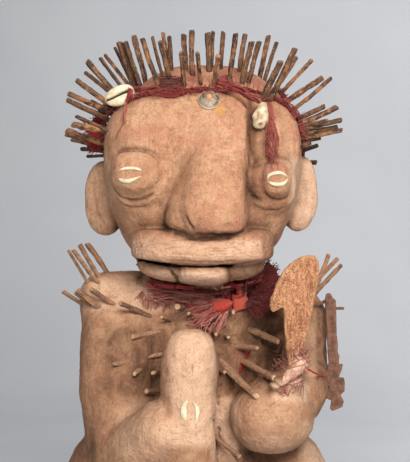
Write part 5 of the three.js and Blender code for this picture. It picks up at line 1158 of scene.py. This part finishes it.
def fan(name, origin, edge, mat, bulge_, ribs, depth, lift0, rows=26, cols=64, seed=0, thick=0.6, free=None):
    """a sheet that spreads from a gathered origin to an edge line, both in pixels"""
    O_ = sight([origin])[0]; E = sight(edge) if free is None else np.array([at(q[0], q[1], y_) for q, y_ in zip(edge, free)]); E = smooth_path(E, cols)
    u = np.linspace(0.04, 1, rows)
    G = O_[None, None] * (1 - u)[:, None, None] + E[None] * u[:, None, None]
    f = G.reshape(-1, 3)
    w = np.linspace(0, 1, cols)
    rib = np.sin(w[None] * 2 * np.pi * ribs + 1.5 * noise(f, 9, 80 + seed).reshape(rows, cols)) * depth * np.clip(u[:, None] * 1.6, 0, 1)
    L_ = lift0 + rib + bulge_ * np.sin(np.clip(u, 0, 1) * np.pi)[:, None] * np.ones(cols)[None] + 0.6 * noise(f, 4, 81 + seed).reshape(rows, cols)
    if free is None:
        G = lay(f, np.maximum(L_.ravel(), 0.9)).reshape(rows, cols, 3)
    else:                                                 # it stands clear of the carving, ribbed towards the camera
        G = keep_out(f + np.array([0.0, -1.0, 0.25]) * (L_.ravel() - lift0)[:, None], 1.4).reshape(rows, cols, 3)
    o, area = sheet_mesh(name, G, mat, thick)
    return o, area, G


tuft, tuft_area, TG = fan("neck_cloth_tuft", (229, 303), [(214, 299), (202, 300), (193.5, 304), (192, 313), (195, 325), (203, 332), (212, 335), (220, 328), (226, 315)], DARKRED, 4.4, 9, 1.5, 3.2, seed=1)
core, core_area, KG = fan("neck_cloth_fold", (231, 304), [(217, 299), (211, 303), (211.5, 309), (218, 312.5), (226, 311)], STRAP, 2.6, 2, 0.5, 7.4, rows=16, cols=34, seed=3)
# the hem in the brightened cloth: painted light
hem, hem_area, HG = fan("neck_cloth_hem", (206, 289), [(176, 284.5), (156, 282.5), (147, 284), (148, 290), (156, 296), (168, 299.5), (182, 300.5), (196, 299), (204, 297)], HEMC, 2.5, 5, 0.9, 3.4, seed=4)
spread, spread_area, SG = fan("neck_cloth_fan", (243, 300), [(245, 285), (252, 273), (262, 263), (271, 264), (277, 272), (279, 286), (276, 299), (269, 308), (261, 315), (252, 316)], NIGHT, 5.0, 8, 1.3, 3.2, seed=2, free=[-58, -52, -44, -38, -36, -42, -50, -54, -54, -52])
# the strap over the knot
SP = smooth_path(lay(np.array([sight([(226, 288)])[0] + np.array([2.0, 6, 9]), sight([(230, 286)])[0], sight([(232, 291)])[0], sight([(235, 298)])[0], sight([(238.5, 305)])[0], sight([(241, 311)])[0]]), 4.0), 40)
s = np.linspace(0, 1, 40); SP = lay(SP, 4.2 + 7.0 * np.sin(np.pi * np.clip(s, 0, 1)) ** 0.8)
ST = unit(np.gradient(SP, axis=0)); SN = normal(SP); SW = unit(np.cross(SN, ST))
v = np.linspace(-1, 1, 25)
hw = 7.6 - 0.9 * np.exp(-((s - 0.45) / 0.3) ** 2)
G = SP[:, None] + SW[:, None] * (hw[:, None] * v[None])[:, :, None] + SN[:, None] * (-2.6 * v[None] ** 2 + 0.5 * np.sin(v * 14)[None] + 0.5 * noise((SP[:, None] + SW[:, None] * (v * 7)[None, :, None]).reshape(-1, 3), 4, 90).reshape(40, 25))[:, :, None]
G = keep_out(G.reshape(-1, 3), 1.2).reshape(40, 25, 3)
strap, strap_area = sheet_mesh("neck_cloth_strap", G, STRAP, 0.8)

fringe, shade = Batch(), Batch()
for j in range(96):      # pink threads along the left strip's lower edge
    x = rng.uniform(142, 206); y = 293 + 6 * math.exp(-((x - 168) / 22) ** 2) + rng.normal(0, 2.0)
    dx = -0.35 * (178 - x) * rng.uniform(0.1, 0.45) + rng.normal(0, 3.5); ln = rng.uniform(5, 15)
    P = over([(x, y), (x + dx * 0.45, y + ln * 0.4), (x + dx, y + ln)], 1.0 + 2.6 * rng.random())
    thread(fringe, P, rng.uniform(0.3, 0.55), k=4, tone=rng.uniform(0, 0.8), wob=1.2, seed=400 + j)
for j in range(64):      # threads lying along the strip
    x = rng.uniform(142, 196); y = 289 + rng.uniform(0, 12); ln = rng.uniform(14, 34)
    P = over([(x, y), (x + ln * 0.5, y + rng.normal(0, 1.4) + 1.2), (x + ln, y + rng.normal(0, 1.6) + 2.4)], 6.0 + 1.4 * rng.random())
    thread(fringe, P, rng.uniform(0.3, 0.5), k=4, tone=rng.uniform(0, 0.7), wob=1.0, seed=500 + j)
for j in range(170):     # the tuft's radiating threads
    i = int(rng.integers(0, TG.shape[1])); e = TG[-1, i]; a = TG[int(TG.shape[0] * rng.uniform(0.3, 0.65)), i]; d = unit(e - a)
    ln = rng.uniform(2, 9)
    n_ = normal(e)[0]
    P = np.array([a + n_ * 1.2, (a + e) / 2 + n_ * 1.5, e + n_ * 1.3, e + d * ln * 0.6 + n_ * 1.2 + rng.normal(0, 0.8, 3), e + d * ln + rng.normal(0, 1.6, 3)])
    thread(fringe, keep_out(P, 0.7), rng.uniform(0.3, 0.55), k=4, tone=rng.uniform(0, 0.9), wob=2.0, seed=600 + 3 * j)
for j in range(110):     # and the fan's
    i = int(rng.integers(0, SG.shape[1])); e = SG[-1, i]; a = SG[int(SG.shape[0] * rng.uniform(0.1, 0.5)), i]; d = unit(e - a)
    n_ = np.array([0.0, -1.0, 0.2])
    P = np.array([a + n_ * 1.2, (a + e) / 2 + n_ * 1.5, e + n_ * 1.2, e + d * rng.uniform(1, 5) + rng.normal(0, 0.9, 3)])
    thread(shade, keep_out(P, 0.7), rng.uniform(0.3, 0.5), k=4, tone=rng.uniform(0, 0.5) ** 1.5, wob=1.6, seed=700 + j)
for j in range(16):      # curls where the knot is tied
    x = rng.uniform(218, 228); y = rng.uniform(285, 296)
    P = over([(x, y), (x + rng.normal(0, 3), y - rng.uniform(2, 6)), (x + rng.normal(0, 5), y + rng.normal(0, 4))], 4 + 2 * rng.random())
    thread(fringe, P, 0.4, k=4, tone=rng.uniform(0, 0.6), wob=1, seed=800 + j)
fringe_piece = fringe.make("neck_cloth_fringe", PINK)
shade_piece = shade.make("neck_cloth_fan_threads", NETY)

wide = band_area / band_long


# ------------------------------------------------------------------ shells, stud, axe with its wrap, key, loose threads
def shell_look():
    k = Look("old cowrie")
    c = k.mix(k.ease(k.noise(160, detail=4), 0.35, 0.65), srgb(216, 200, 166), srgb(242, 230, 204))
    c = k.mix(k.ease(k.noise(60, detail=3), 0.52, 0.72, 0, 0.6), c, srgb(212, 190, 148))
    c = k.mix(k.math("MULTIPLY", k.attr("teeth"), 0.55), c, srgb(176, 146, 104))
    # grime, and painted shade on the side towards the wood and in the dents
    c = k.mix(k.math("MULTIPLY", k.attr("grime"), k.ease(k.noise(300, detail=4), 0.25, 0.65, 0.4, 1.0)), c, srgb(150, 112, 82))
    # near black in the opening: painted shade
    c = k.mix(k.attr("slit"), c, srgb(30, 20, 16))
    n = k.bump(k.noise(420, detail=4), 0.25, 0.5)
    return k.done(c, k.ease(k.noise(140), 0.3, 0.7, 0.32, 0.5), n, Specular_IOR_Level=0.5, Subsurface_Weight=0.06)


SHELL = shell_look()


def cowrie(C, ax, up, L, W, H, nu=110, nv=132):
    """a cowrie with its opening towards up, its length along ax"""
    up = unit(up); ax = unit(ax - up * (ax @ up)); sd = np.cross(up, ax)
    u = np.linspace(0.03, np.pi - 0.03, nu)[:, None]; v = (2 * np.pi * np.arange(nv) / nv)[None]
    x = -L * np.cos(u) * np.ones_like(v)
    w = np.sin(u) ** 0.86 * (1 + 0.13 * x / L)
    y = W * w * np.cos(v)
    z = np.where(np.sin(v) > 0, 0.62 * np.abs(np.sin(v)) ** 0.7, -np.abs(np.sin(v))) * H * np.sin(u) ** 0.6 * (1 + 0.1 * x / L)
    ys = W * (0.10 * np.sin(2.2 * x / L) - 0.04)
    dy = np.abs(y - ys); vent = np.clip(np.sin(v) * 6, 0, 1); ends = np.clip((1 - np.abs(x) / L) * 7, 0, 1)
    # the opening is cut in, and painted near black as painted shade
    slit = np.exp(-(dy / (0.95 + 0.3 * x / L)) ** 2) * vent * ends
    tooth = (0.5 + 0.5 * np.cos(2 * np.pi * x / 1.55)) * np.exp(-(np.clip(dy - 1.2, 0, 9) / 2.8) ** 2) * vent * ends
    z = z + 0.8 * np.exp(-((dy - 2.4) / 1.7) ** 2) * vent * ends - 0.42 * tooth - 3.2 * slit
    P = C + x[..., None] * ax + y[..., None] * sd + z[..., None] * up
    V = P.reshape(-1, 3); F = []
    for i in range(nu - 1):
        for j in range(nv):
            a, b = i * nv + j, i * nv + (j + 1) % nv
            F.append([a, b, b + nv, a + nv])
    F.append(list(range(nv))[::-1]); F.append([(nu - 1) * nv + j for j in range(nv)])
    if np.dot(np.cross(V[F[0][1]] - V[F[0][0]], V[F[0][3]] - V[F[0][0]]), V[F[0][0]] - C) < 0:
        F = [f[::-1] for f in F]
    # darker towards the back that faces the wood: painted shade with grime
    return V, F, dict(slit=np.clip(slit * 1.5, 0, 1).ravel(), teeth=tooth.ravel(), grime=np.clip(0.55 - z / H, 0, 1).ravel() * 0.8)


def centre_of(node):
    lo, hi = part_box(node)
    return np.array((lo + hi) / 2) * 1000 - SHIFT


C = centre_of("hanging_cowrie")
C = at(119.8, 96.0, C[1] - 2.0)
b = Batch(); V_, F_, A_ = cowrie(C, np.array([0.97, 0.1, 0.22]), np.array([-0.22, -0.93, 0.2]), 14.3, 9.8, 7.2)
b.add(V_, F_, **A_)
o = b.make("cowrie_on_band", SHELL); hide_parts("hanging_cowrie")
lash = Batch()           # the yarn that lashes it on
for j in range(5):
    a0 = (129.5 + 0.9 * j, 84 + 0.8 * j); a1 = (126.5 + 1.1 * j, 107 - j)
    P = np.array([at(a0[0], a0[1], C[1] + 2), at(a0[0] - 0.6, a0[1] + 6, C[1] - 6.5 - 0.5 * j), at(a1[0] + 1.0, a1[1] - 9, C[1] - 8.2 - 0.4 * j), at(a1[0], a1[1] - 2, C[1] - 4.5), at(a1[0] - 0.5, a1[1] + 3, C[1] + 1)])
    thread(lash, keep_out(P, 0.8), 0.7, k=6, tone=0.15 * j, wob=0.5, seed=900 + j)
lash_piece = lash.make("cowrie_lashing", YARN)

C = centre_of("hanging_shell"); C = at(260.9, 116, C[1] - 1.0)          # a worn, knobby shell
nu, nv = 70, 60
u = np.linspace(0.04, np.pi - 0.04, nu)[:, None]; v = (2 * np.pi * np.arange(nv) / nv)[None]
zz = -np.cos(u) * np.ones_like(v)
prof = np.sin(u) ** 0.75 * (0.92 - 0.16 * zz)
D = np.stack([np.cos(v) * prof, np.sin(v) * prof, zz], -1)
P = D * np.array([7.0, 5.4, 12.2])
P = P + D * (0.9 * noise(P.reshape(-1, 3), 7, 95) + 0.55 * noise(P.reshape(-1, 3), 3.4, 96)).reshape(nu, nv, 1)
P[..., 0] += 1.0 * np.sin(zz * 2.1)
dim = np.exp(-(((P[..., 0] - 0.3) / 2.2) ** 2 + ((P[..., 2] + 7.6) / 1.5) ** 2)) * (P[..., 1] < 0)
side = np.exp(-(((P[..., 0] + 3.6) / 1.3) ** 2 + ((P[..., 2] - 1.0) / 5.5) ** 2)) * (P[..., 1] < 0)
P[..., 1] += 2.6 * dim + 1.2 * side
tilt_ = turned((10, 0, 0)) @ turned((0, 5, 0))
V_ = P.reshape(-1, 3) @ tilt_.T + C; F_ = []
for i in range(nu - 1):
    for j in range(nv):
        a, c_ = i * nv + j, i * nv + (j + 1) % nv
        F_.append([a, c_, c_ + nv, a + nv])
F_.append(list(range(nv))[::-1]); F_.append([(nu - 1) * nv + j for j in range(nv)])
V_ = np.where((height(V_) < 0.3)[:, None], keep_out(V_, 0.3), V_)
# grime over the whole shell, darker in its dents as painted shade
o = make("worn_shell_on_band", V_, F_, SHELL, True, dict(slit=np.zeros(len(V_)), teeth=np.zeros(len(V_)), grime=np.clip(np.clip(0.9 * dim + 0.8 * side, 0, 1).ravel() * 0.9 + 0.38 + 0.5 * noise(P.reshape(-1, 3), 5, 99), 0, 1)))
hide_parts("hanging_shell")


def lips(batch, px_line, wide, lift, seed):
    """one lip of a cowrie that is let into the wood: a tapered, toothed crescent"""
    P = sight(px_line); P = smooth_path(P, 70); P = lay(P, lift)
    t = np.linspace(0, 1, 70); L = np.linalg.norm(np.diff(P, axis=0), axis=1).sum()
    R = wide / 2 * np.sin(np.pi * np.clip(t, 0.02, 0.98)) ** 0.55 * (1 + 0.1 * np.cos(2 * np.pi * t * L / 1.5)) * (1 + 0.05 * noise(P, 3, seed))
    V_, F_ = rope(P, R, 14)
    n_ = np.repeat(normal(P), 14, 0); c_ = np.repeat(P, 14, 0); d = V_ - c_
    V_ = c_ + d - n_ * (d * n_).sum(1)[:, None] * 0.35
    # darker on the side towards the wood: painted shade
    batch.add(V_, F_, slit=0.0, teeth=np.repeat(0.5 + 0.5 * np.cos(2 * np.pi * t * L / 1.5), 14) * 0.5, grime=np.clip(0.6 - (d * n_).sum(1) / wide * 2, 0, 1) * 0.9)


for name, node, ls in (
        ("eye_cowrie_lips_left", "eye_cowrie_left", [([(118.4, 171.0), (123.5, 169.0), (130.5, 168.2), (137.5, 169.0), (141.8, 171.0)], 2.8), ([(118.6, 178.4), (122.6, 180.4), (127.5, 181.0), (133.0, 179.6), (140.5, 176.4)], 4.2)]),
        ("eye_cowrie_lips_right", "eye_cowrie_right", [([(267.6, 179.6), (269.4, 175.6), (275.5, 173.2), (282, 173.4), (287.2, 176.6)], 3.4), ([(268.2, 181), (272.5, 183.6), (278.5, 184.4), (284.2, 183), (287.6, 178.6)], 3.6)]),
        ("post_cowrie_lips", "post_cowrie", [([(188.2, 400.4), (184.6, 405), (183.8, 411), (184.8, 417), (187.4, 422)], 6.2), ([(192.6, 402.2), (196.2, 406.4), (197.4, 412), (196.8, 418.5), (194.4, 425)], 4.4)])):
    b = Batch()
    for i, (line, wide) in enumerate(ls):
        lips(b, line, wide, 0.25, 40 + i)
    o = b.make(name, SHELL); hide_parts(node)


def stud_look():
    k = Look("worn stud")
    boss = k.attr("boss"); rim = k.attr("rim")
    c = k.mix(k.ease(k.noise(260, detail=4, rough=0.65), 0.35, 0.62), srgb(86, 76, 66), srgb(158, 142, 122))
    c = k.mix(k.ease(k.noise(700, detail=3), 0.58, 0.7, 0, 0.8), c, srgb(206, 192, 168))
    c = k.mix(boss, c, k.mix(k.ease(k.noise(500, detail=3), 0.35, 0.6), srgb(188, 120, 78), srgb(214, 160, 118)))
    c = k.mix(k.math("MULTIPLY", rim, 0.75), c, srgb(206, 186, 164))
    n = k.bump(k.noise(480, detail=5, rough=0.6), 0.7, 0.9)
    return k.done(c, k.ease(k.noise(260), 0.3, 0.7, 0.38, 0.62), n, Metallic=0.35, Specular_IOR_Level=0.5)


SN_ = unit(np.array([0.004, -0.87, 0.49])); SC = at(209.2, 99.8, -69.6)
prof = [(0, 5.6), (1.4, 5.5), (2.6, 4.9), (3.2, 3.8), (4.2, 3.3), (5.8, 3.0), (7.4, 2.2), (8.7, 1.0), (9.1, 0.3), (9.6, 0.5), (10.0, 0.1), (10.0, -1.2), (9.2, -3.2), (0, -3.2)]
pr = np.array(prof); fine_ = []
for i in range(len(pr) - 1):
    for q in np.linspace(0, 1, 5)[:-1]:
        fine_.append(pr[i] * (1 - q) + pr[i + 1] * q)
fine_ = np.array(fine_ + [pr[-1]]); fine_ = fine_[(fine_[:, 0] > 0.2)]
k = 56; a = 2 * np.pi * np.arange(k) / k
U_ = unit(np.cross(SN_, [0, 0, 1])); W_ = np.cross(SN_, U_)
rr = np.repeat(fine_[:, 0], k); hh = np.repeat(fine_[:, 1], k); aa = np.tile(a, len(fine_))
bossshift = np.exp(-(rr / 4.5) ** 2)
Pq = SC + rr[:, None] * (U_ * np.cos(aa)[:, None] + W_ * np.sin(aa)[:, None]) + (bossshift * 1.6)[:, None] * np.sign(W_[2]) * W_
Pq = Pq + SN_ * (hh + 0.28 * noise(Pq, 2.4, 97) + 0.25 * np.where(rr > 8.8, noise(Pq, 4, 98), 0))[:, None]
F_ = [[i * k + j, (i + 1) * k + j, (i + 1) * k + (j + 1) % k, i * k + (j + 1) % k] for i in range(len(fine_) - 1) for j in range(k)]
F_ += [[j for j in range(k)], [(len(fine_) - 1) * k + j for j in range(k)][::-1]]
if np.dot(np.cross(Pq[F_[0][1]] - Pq[F_[0][0]], Pq[F_[0][3]] - Pq[F_[0][0]]), SN_) < 0:
    F_ = [f[::-1] for f in F_]
low = (Pq - SC) @ (W_ * -np.sign(W_[2]))
o = make("stud_on_forehead", Pq, F_, stud_look(), True, dict(boss=np.clip((3.6 - rr) * 1.5, 0, 1) * (hh > 0), rim=np.clip(rr - 8.9, 0, 1) + np.clip(low / 7 - 0.55, 0, 1) * 0.6))
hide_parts("forehead_stud")


def polygon(outline, X, Z):
    """signed distance to an outline, negative inside"""
    P = np.stack([X.ravel(), Z.ravel()], 1); n = len(outline); best = np.full(len(P), 1e9); inside = np.zeros(len(P), bool)
    for i in range(n):
        a, b = np.array(outline[i]), np.array(outline[(i + 1) % n]); d = b - a
        t_ = np.clip(((P - a) @ d) / (d @ d), 0, 1); best = np.minimum(best, np.linalg.norm(P - a - t_[:, None] * d, axis=1))
        c_ = (a[1] > P[:, 1]) != (b[1] > P[:, 1])
        inside ^= c_ & (P[:, 0] < (b[0] - a[0]) * (P[:, 1] - a[1]) / (b[1] - a[1] + 1e-12) + a[0])
    return np.where(inside, -best, best).reshape(X.shape)


def plate(outline_px, y, thick, step, relief, edge=1.6, holes=()):
    """a carved flat piece: its outline in pixels at depth y, rounded edges, and a relief field"""
    o2 = [(p[0], p[2]) for p in (at(a, b, y) for a, b in outline_px)]
    o2 = np.array(o2); lo, hi = o2.min(0) - 4, o2.max(0) + 4
    xs, zs, ys = np.arange(lo[0], hi[0], step), np.arange(lo[1], hi[1], step), np.arange(y - thick / 2 - 3, y + thick / 2 + 3, step)
    X, Z = np.meshgrid(xs, zs, indexing="ij")
    d2 = polygon(o2, X, Z)
    A_ = np.broadcast_to(d2[:, None, :], (len(xs), len(ys), len(zs))); B_ = np.broadcast_to((np.abs(ys - y) - thick / 2)[None, :, None], A_.shape)
    F = np.maximum(A_, B_) + edge * 0.25 * np.clip(1 - np.abs(A_ - B_) / edge, 0, 1) ** 2
    P = np.stack(np.meshgrid(xs, ys, zs, indexing="ij"), -1).reshape(-1, 3)
    near = np.abs(F.ravel()) < 3.5
    g = np.zeros(F.size); g[near] = relief(P[near])
    F = F + g.reshape(F.shape)
    V_, F_ = skin(F.astype(np.float32), xs, ys, zs)
    edgev = np.clip(1 + sample(np.ascontiguousarray(A_), (xs, ys, zs), V_) / 3.0, 0, 1)
    return V_, F_, edgev


def axe_look():
    k = Look("fibrous axe wood")
    fib = k.noise(330, k.stretch(k.obj, (1, 1, 0.22), (0, 8, 0)), detail=5, rough=0.68, warp=0.9)
    curl = k.noise(210, detail=5, rough=0.7, warp=1.6)
    c = k.mix(k.ease(fib, 0.36, 0.62), srgb(130, 82, 56), srgb(194, 136, 98))
    c = k.mix(k.ease(curl, 0.48, 0.62, 0, 0.7), c, srgb(220, 170, 128))
    c = k.mix(k.ease(k.noise(760, detail=4), 0.53, 0.63, 0, 0.75), c, srgb(104, 62, 42))
    c = k.mix(k.math("MULTIPLY", k.attr("edge"), k.ease(curl, 0.3, 0.6, 0.2, 0.8)), c, srgb(206, 160, 116))
    n = k.bump(fib, 1.4, 0.9); n = k.bump(curl, 0.9, 0.7, n)
    return k.done(c, k.ease(curl, 0.3, 0.7, 0.62, 0.85), n, Specular_IOR_Level=0.32)


AXE_PX = [(302, 256.6), (308, 255.2), (315.4, 256), (318.4, 261), (318.6, 270), (317.6, 282), (315.8, 293), (313.2, 304), (309.5, 326), (303.6, 347), (299.5, 352), (298.5, 383), (290, 383), (287.5, 353), (285.8, 348), (285.2, 336), (284.3, 326), (284.4, 316), (283.6, 307), (279.9, 308.4), (274, 312), (271, 310), (269.5, 305.5), (270.6, 299), (272.5, 293.6), (275, 286.5), (278.4, 280), (282.2, 273), (287.3, 267), (291, 262.8), (296.2, 259.6)]
V_, F_, e_ = plate(AXE_PX, -88, 7.6, 0.75, lambda P: 0.42 * noise(P, (1.7, 1.7, 6.5), 101) + 0.35 * noise(P, (3.6, 3.6, 9), 102) + 0.16 * noise(P, 1.2, 103), 2.6)
o = make("axe_carved", V_, F_, axe_look(), True, dict(edge=e_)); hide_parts("axe")


def key_look():
    k = Look("rusted key")
    a, b_ = k.noise(190, detail=5, rough=0.65), k.noise(560, detail=4, rough=0.6)
    c = k.mix(k.ease(a, 0.35, 0.62), srgb(94, 64, 51), srgb(126, 90, 72))
    c = k.mix(k.ease(b_, 0.56, 0.7, 0, 0.5), c, srgb(66, 46, 38))
    c = k.mix(k.math("MULTIPLY", k.attr("edge"), k.ease(a, 0.3, 0.7, 0.1, 0.7)), c, srgb(152, 112, 90))
    n = k.bump(a, 0.5, 0.6); n = k.bump(b_, 0.3, 0.6, n)
    return k.done(c, k.ease(b_, 0.3, 0.7, 0.6, 0.85), n, Metallic=0.15, Specular_IOR_Level=0.35)


KEY_PX = [(324.6, 300), (326.0, 293.6), (330.8, 293.2), (332.6, 297.6), (336, 300.4), (336.4, 318), (336.6, 334), (338, 345), (337.6, 352), (339.4, 356), (338.6, 363.5), (343, 364), (341.6, 370.5), (339, 377), (344, 377.8), (344.8, 384), (344.6, 391), (340.4, 395), (343.8, 400.8), (342.6, 406.6), (337.6, 409), (332.2, 411), (330, 408.6), (331.2, 400.6), (326.4, 398.4), (325.2, 390), (326.6, 383), (325, 377), (326.4, 370), (328.6, 363), (327.4, 352), (327, 334), (325.6, 316)]
V_, F_, e_ = plate(KEY_PX, -22, 4.0, 0.8, lambda P: 0.16 * noise(P, 4.2, 111) + 0.08 * noise(P, 1.6, 112), 1.2)
kb = Batch(); kb.add(V_, F_.tolist(), edge=e_)
hk = np.array([at(328.4, 297, -22), at(328.6, 294.6, -18), at(329, 296.4, -13.5), at(329.4, 301, -12)])
Vr, Fr = rope(smooth_path(hk, 14), 1.7, 8); kb.add(Vr, Fr, edge=0.5)
o = kb.make("key_rusted", key_look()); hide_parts("hanging_key")


def wad_look():
    k = Look("rag wrap")
    a = k.noise(150, detail=4, rough=0.6)
    c = k.mix(k.ease(a, 0.34, 0.66), srgb(176, 126, 108), srgb(226, 188, 164))
    c = k.mix(k.ease(k.noise(620, k.stretch(k.obj, (1, 1, 0.3)), detail=4, warp=0.8), 0.52, 0.66, 0, 0.7), c, srgb(120, 66, 62))
    c = k.mix(k.ease(k.noise(460, detail=3), 0.6, 0.72, 0, 0.7), c, srgb(228, 196, 176))
    n = k.bump(k.noise(520, k.stretch(k.obj, (1, 1, 0.3)), detail=4, warp=0.8), 0.9, 0.9)
    return k.done(c, k.ease(a, 0.3, 0.7, 0.88, 0.97), n, Specular_IOR_Level=0.12, Sheen_Weight=0.3)


xs_, ys_, zs_ = np.arange(58, 96, 0.8), np.arange(-103, -72, 0.8), np.arange(184, 228, 0.8)
X, Y, Z = np.meshgrid(xs_, ys_, zs_, indexing="ij")
WF = np.full(X.shape, 30.0)
for c_, r_, rot_ in ((at(285, 377.5, -90), (8.5, 9.5, 5.6), (0, -34, 0)), (at(294, 371.5, -91), (10.5, 10, 5.4), (0, -36, 0)), (at(302, 364.5, -89), (7.5, 8.5, 4.8), (0, -42, 0)), (at(293, 382, -86), (8.5, 8, 6), (0, 0, 0)), (at(297.5, 360, -87), (6.5, 7, 8), (0, -16, 0))):
    p = bulge("add", tuple(c_), r_, 3, (2.1, 2.1), rot_)
    WF = smin(WF, dist(p, X, Y, Z), 3)
WF = WF + (0.8 * noise(np.stack([X, Y, Z], -1).reshape(-1, 3), (5, 5, 3), 121) + 0.5 * noise(np.stack([X, Y, Z], -1).reshape(-1, 3), 2.2, 122)).reshape(X.shape)
V_, F_ = skin(WF.astype(np.float32), xs_, ys_, zs_)
wad = make("grip_wad", V_, F_, wad_look(), True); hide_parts("grip_wrap")
wt = Batch()


def off_wad(P, lift):
    """keeps a thread on the wad's surface"""
    P = np.array(P, float); e = 0.8
    for _ in range(14):
        h = sample(WF, (xs_, ys_, zs_), P)
        g = np.stack([sample(WF, (xs_, ys_, zs_), P + d) - sample(WF, (xs_, ys_, zs_), P - d) for d in np.eye(3) * e], 1)
        P = P + unit(g) * (lift - h)[:, None] * 0.7
    return P


for j in range(7):       # turns of thread round the grip
    t_ = np.linspace(0, 2 * np.pi, 50); z0 = at(292, 386 - 4.6 * j, -88)[2]; tilt2 = 0.62
    x0 = at(291.5 + 1.5 * j, 380, -88)[0]
    P = np.stack([x0 + 9 * np.cos(t_), -88 + 9 * np.sin(t_), z0 + 9 * tilt2 * np.cos(t_ + 0.4 * math.sin(j * 2.2)) + rng.normal(0, 0.5)], 1)
    thread(wt, off_wad(P, 0.25), rng.uniform(0.35, 0.6), n=50, k=5, tone=rng.uniform(0.2, 1.0), seed=1000 + j, taper=0)
for j in range(78):      # frayed ends above, to the right and below
    w_ = j % 3
    if w_ == 0:
        p = np.array([rng.uniform(286, 308), rng.uniform(350, 362)]); d = np.array([rng.normal(0.3, 0.5), -1.0]); ln = rng.uniform(5, 13)
    elif w_ == 1:
        p = np.array([rng.uniform(278, 303), rng.uniform(380, 388)]); d = np.array([rng.normal(-0.15, 0.5), 1.0]); ln = rng.uniform(5, 12)
    else:
        p = np.array([rng.uniform(300, 306), rng.uniform(350, 376)]); d = np.array([1.0, rng.normal(0, 0.8)]); ln = rng.uniform(4, 9)
    d = d / np.linalg.norm(d); y0 = -88 - rng.uniform(4, 8)
    P = [at(p[0], p[1], y0 + 3), at(*(p + d * ln * 0.4), y0 - 1.5), at(*(p + d * ln * 0.75 + rng.normal(0, 1.2, 2)), y0 - 1), at(*(p + d * ln + rng.normal(0, 1.8, 2)), y0 + 1.5)]
    thread(wt, keep_out(P, 0.5), rng.uniform(0.3, 0.55), k=4, tone=rng.uniform(0.2, 1.0), seed=1100 + j)
for j in range(30):      # dark tangle in the crevice left of the grip
    p = np.array([rng.uniform(273, 286), rng.uniform(350, 372)])
    P = over([tuple(p), tuple(p + rng.normal(0, 3.5, 2)), tuple(p + rng.normal(0, 5, 2))], 0.8 + 3.5 * rng.random())
    thread(wt, P, rng.uniform(0.3, 0.5), k=4, tone=rng.uniform(0, 0.5), wob=0.8, seed=1200 + j)
wt_piece = wt.make("grip_threads", RAG)

rt = Batch()             # two bright red threads, and a pale splint beside the key
thread(rt, over([(250.5, 350), (247, 355), (243, 361), (240.2, 368), (238.4, 374)], 1.8), 1.0, k=7, tone=0.3, seed=1301, taper=0.1)
thread(rt, keep_out([at(304.5, 365, -86), at(309, 369.5, -88), at(314, 372.5, -80), at(319.5, 375, -60), at(325, 377, -30)], 1.0), 0.8, k=7, tone=0.1, seed=1302, taper=0.1)
rt_piece = rt.make("red_threads", BRIGHT)
b = Batch(); stick(b, at(314, 373.5, -48), at(329.5, 385.5, -24), 1.7, 991, coat=0.5, pale=0.8, tipdark=0.0)
o = b.make("splint_by_key", PEG, smooth=False)


# ------------------------------------------------------------------ floor, backdrop, light, camera
def stage_look():
    k = Look("studio paper")
    c = k.mix(k.ease(k.noise(3, detail=2), 0.3, 0.7), srgb(200, 202, 206), srgb(206, 208, 211))
    return k.done(c, k.ease(k.noise(5), 0, 1, 0.85, 0.95), None, Specular_IOR_Level=0.1)


PAPER = stage_look()
rows = [(-2.2, 0.0), (1.05, 0.0)] + [(1.05 + 0.75 * math.sin(a), 0.75 - 0.75 * math.cos(a)) for a in np.linspace(0.1, math.pi / 2, 14)] + [(1.8, 2.6)]
sv = [(x, y, z - 0.0006) for y, z in rows for x in (-3.2, 3.2)]
sm = bpy.data.meshes.new("paper"); sm.from_pydata(sv, [], [[2 * i, 2 * i + 1, 2 * i + 3, 2 * i + 2] for i in range(len(rows) - 1)]); sm.update()
sm.polygons.foreach_set("use_smooth", [True] * len(sm.polygons)); sm.materials.append(PAPER)
paper = bpy.data.objects.new("paper", sm); bpy.context.scene.collection.objects.link(paper)


def lamp(name, at_, to, size, watts, colour, size_y=None):
    d = bpy.data.lights.new(name, "AREA"); d.energy = watts; d.color = colour
    d.shape = "RECTANGLE"; d.size = size; d.size_y = size_y or size
    o = bpy.data.objects.new(name, d); bpy.context.scene.collection.objects.link(o)
    o.location = at_; o.rotation_euler = (Vector(to) - Vector(at_)).to_track_quat("-Z", "Y").to_euler()
    return o


lamp("key", (0.26, -1.34, 0.98), (0.0, 0.0, 0.34), 1.15, 32, (1.0, 0.945, 0.88), 0.55)
lamp("fill", (-1.0, -1.2, 0.9), (0.0, 0.0, 0.3), 1.1, 2.0, (0.95, 0.97, 1.0))
lamp("top", (0.1, 0.2, 1.5), (0.0, 0.0, 0.4), 0.9, 6, (0.97, 0.98, 1.0))
lamp("wall", (0.88, 0.55, 0.9), (0.52, 1.8, 0.7), 0.9, 8.3, (0.97, 0.98, 1.0))
lamp("wall_top", (0.1, 0.95, 1.35), (0.05, 1.8, 1.1), 0.4, 1.2, (0.98, 0.98, 1.0))
w = bpy.data.worlds.new("room"); bpy.context.scene.world = w; w.use_nodes = True
w.node_tree.nodes["Background"].inputs[0].default_value = (0.8, 0.84, 0.9, 1); w.node_tree.nodes["Background"].inputs[1].default_value = 0.17

cam = bpy.data.cameras.new("camera"); cam.sensor_fit = "VERTICAL"; cam.sensor_height = 24; cam.lens = 24 * FOCAL / 462
cam.clip_start = 0.02; cam.clip_end = 60
co = bpy.data.objects.new("camera", cam); bpy.context.scene.collection.objects.link(co)
co.location = (0.004, (EYE_Y + 14) * 0.001, EYE_Z * 0.001); co.rotation_euler = (math.pi / 2, 0, 0)
bpy.context.scene.camera = co
bpy.context.scene.view_settings.view_transform = "Standard"
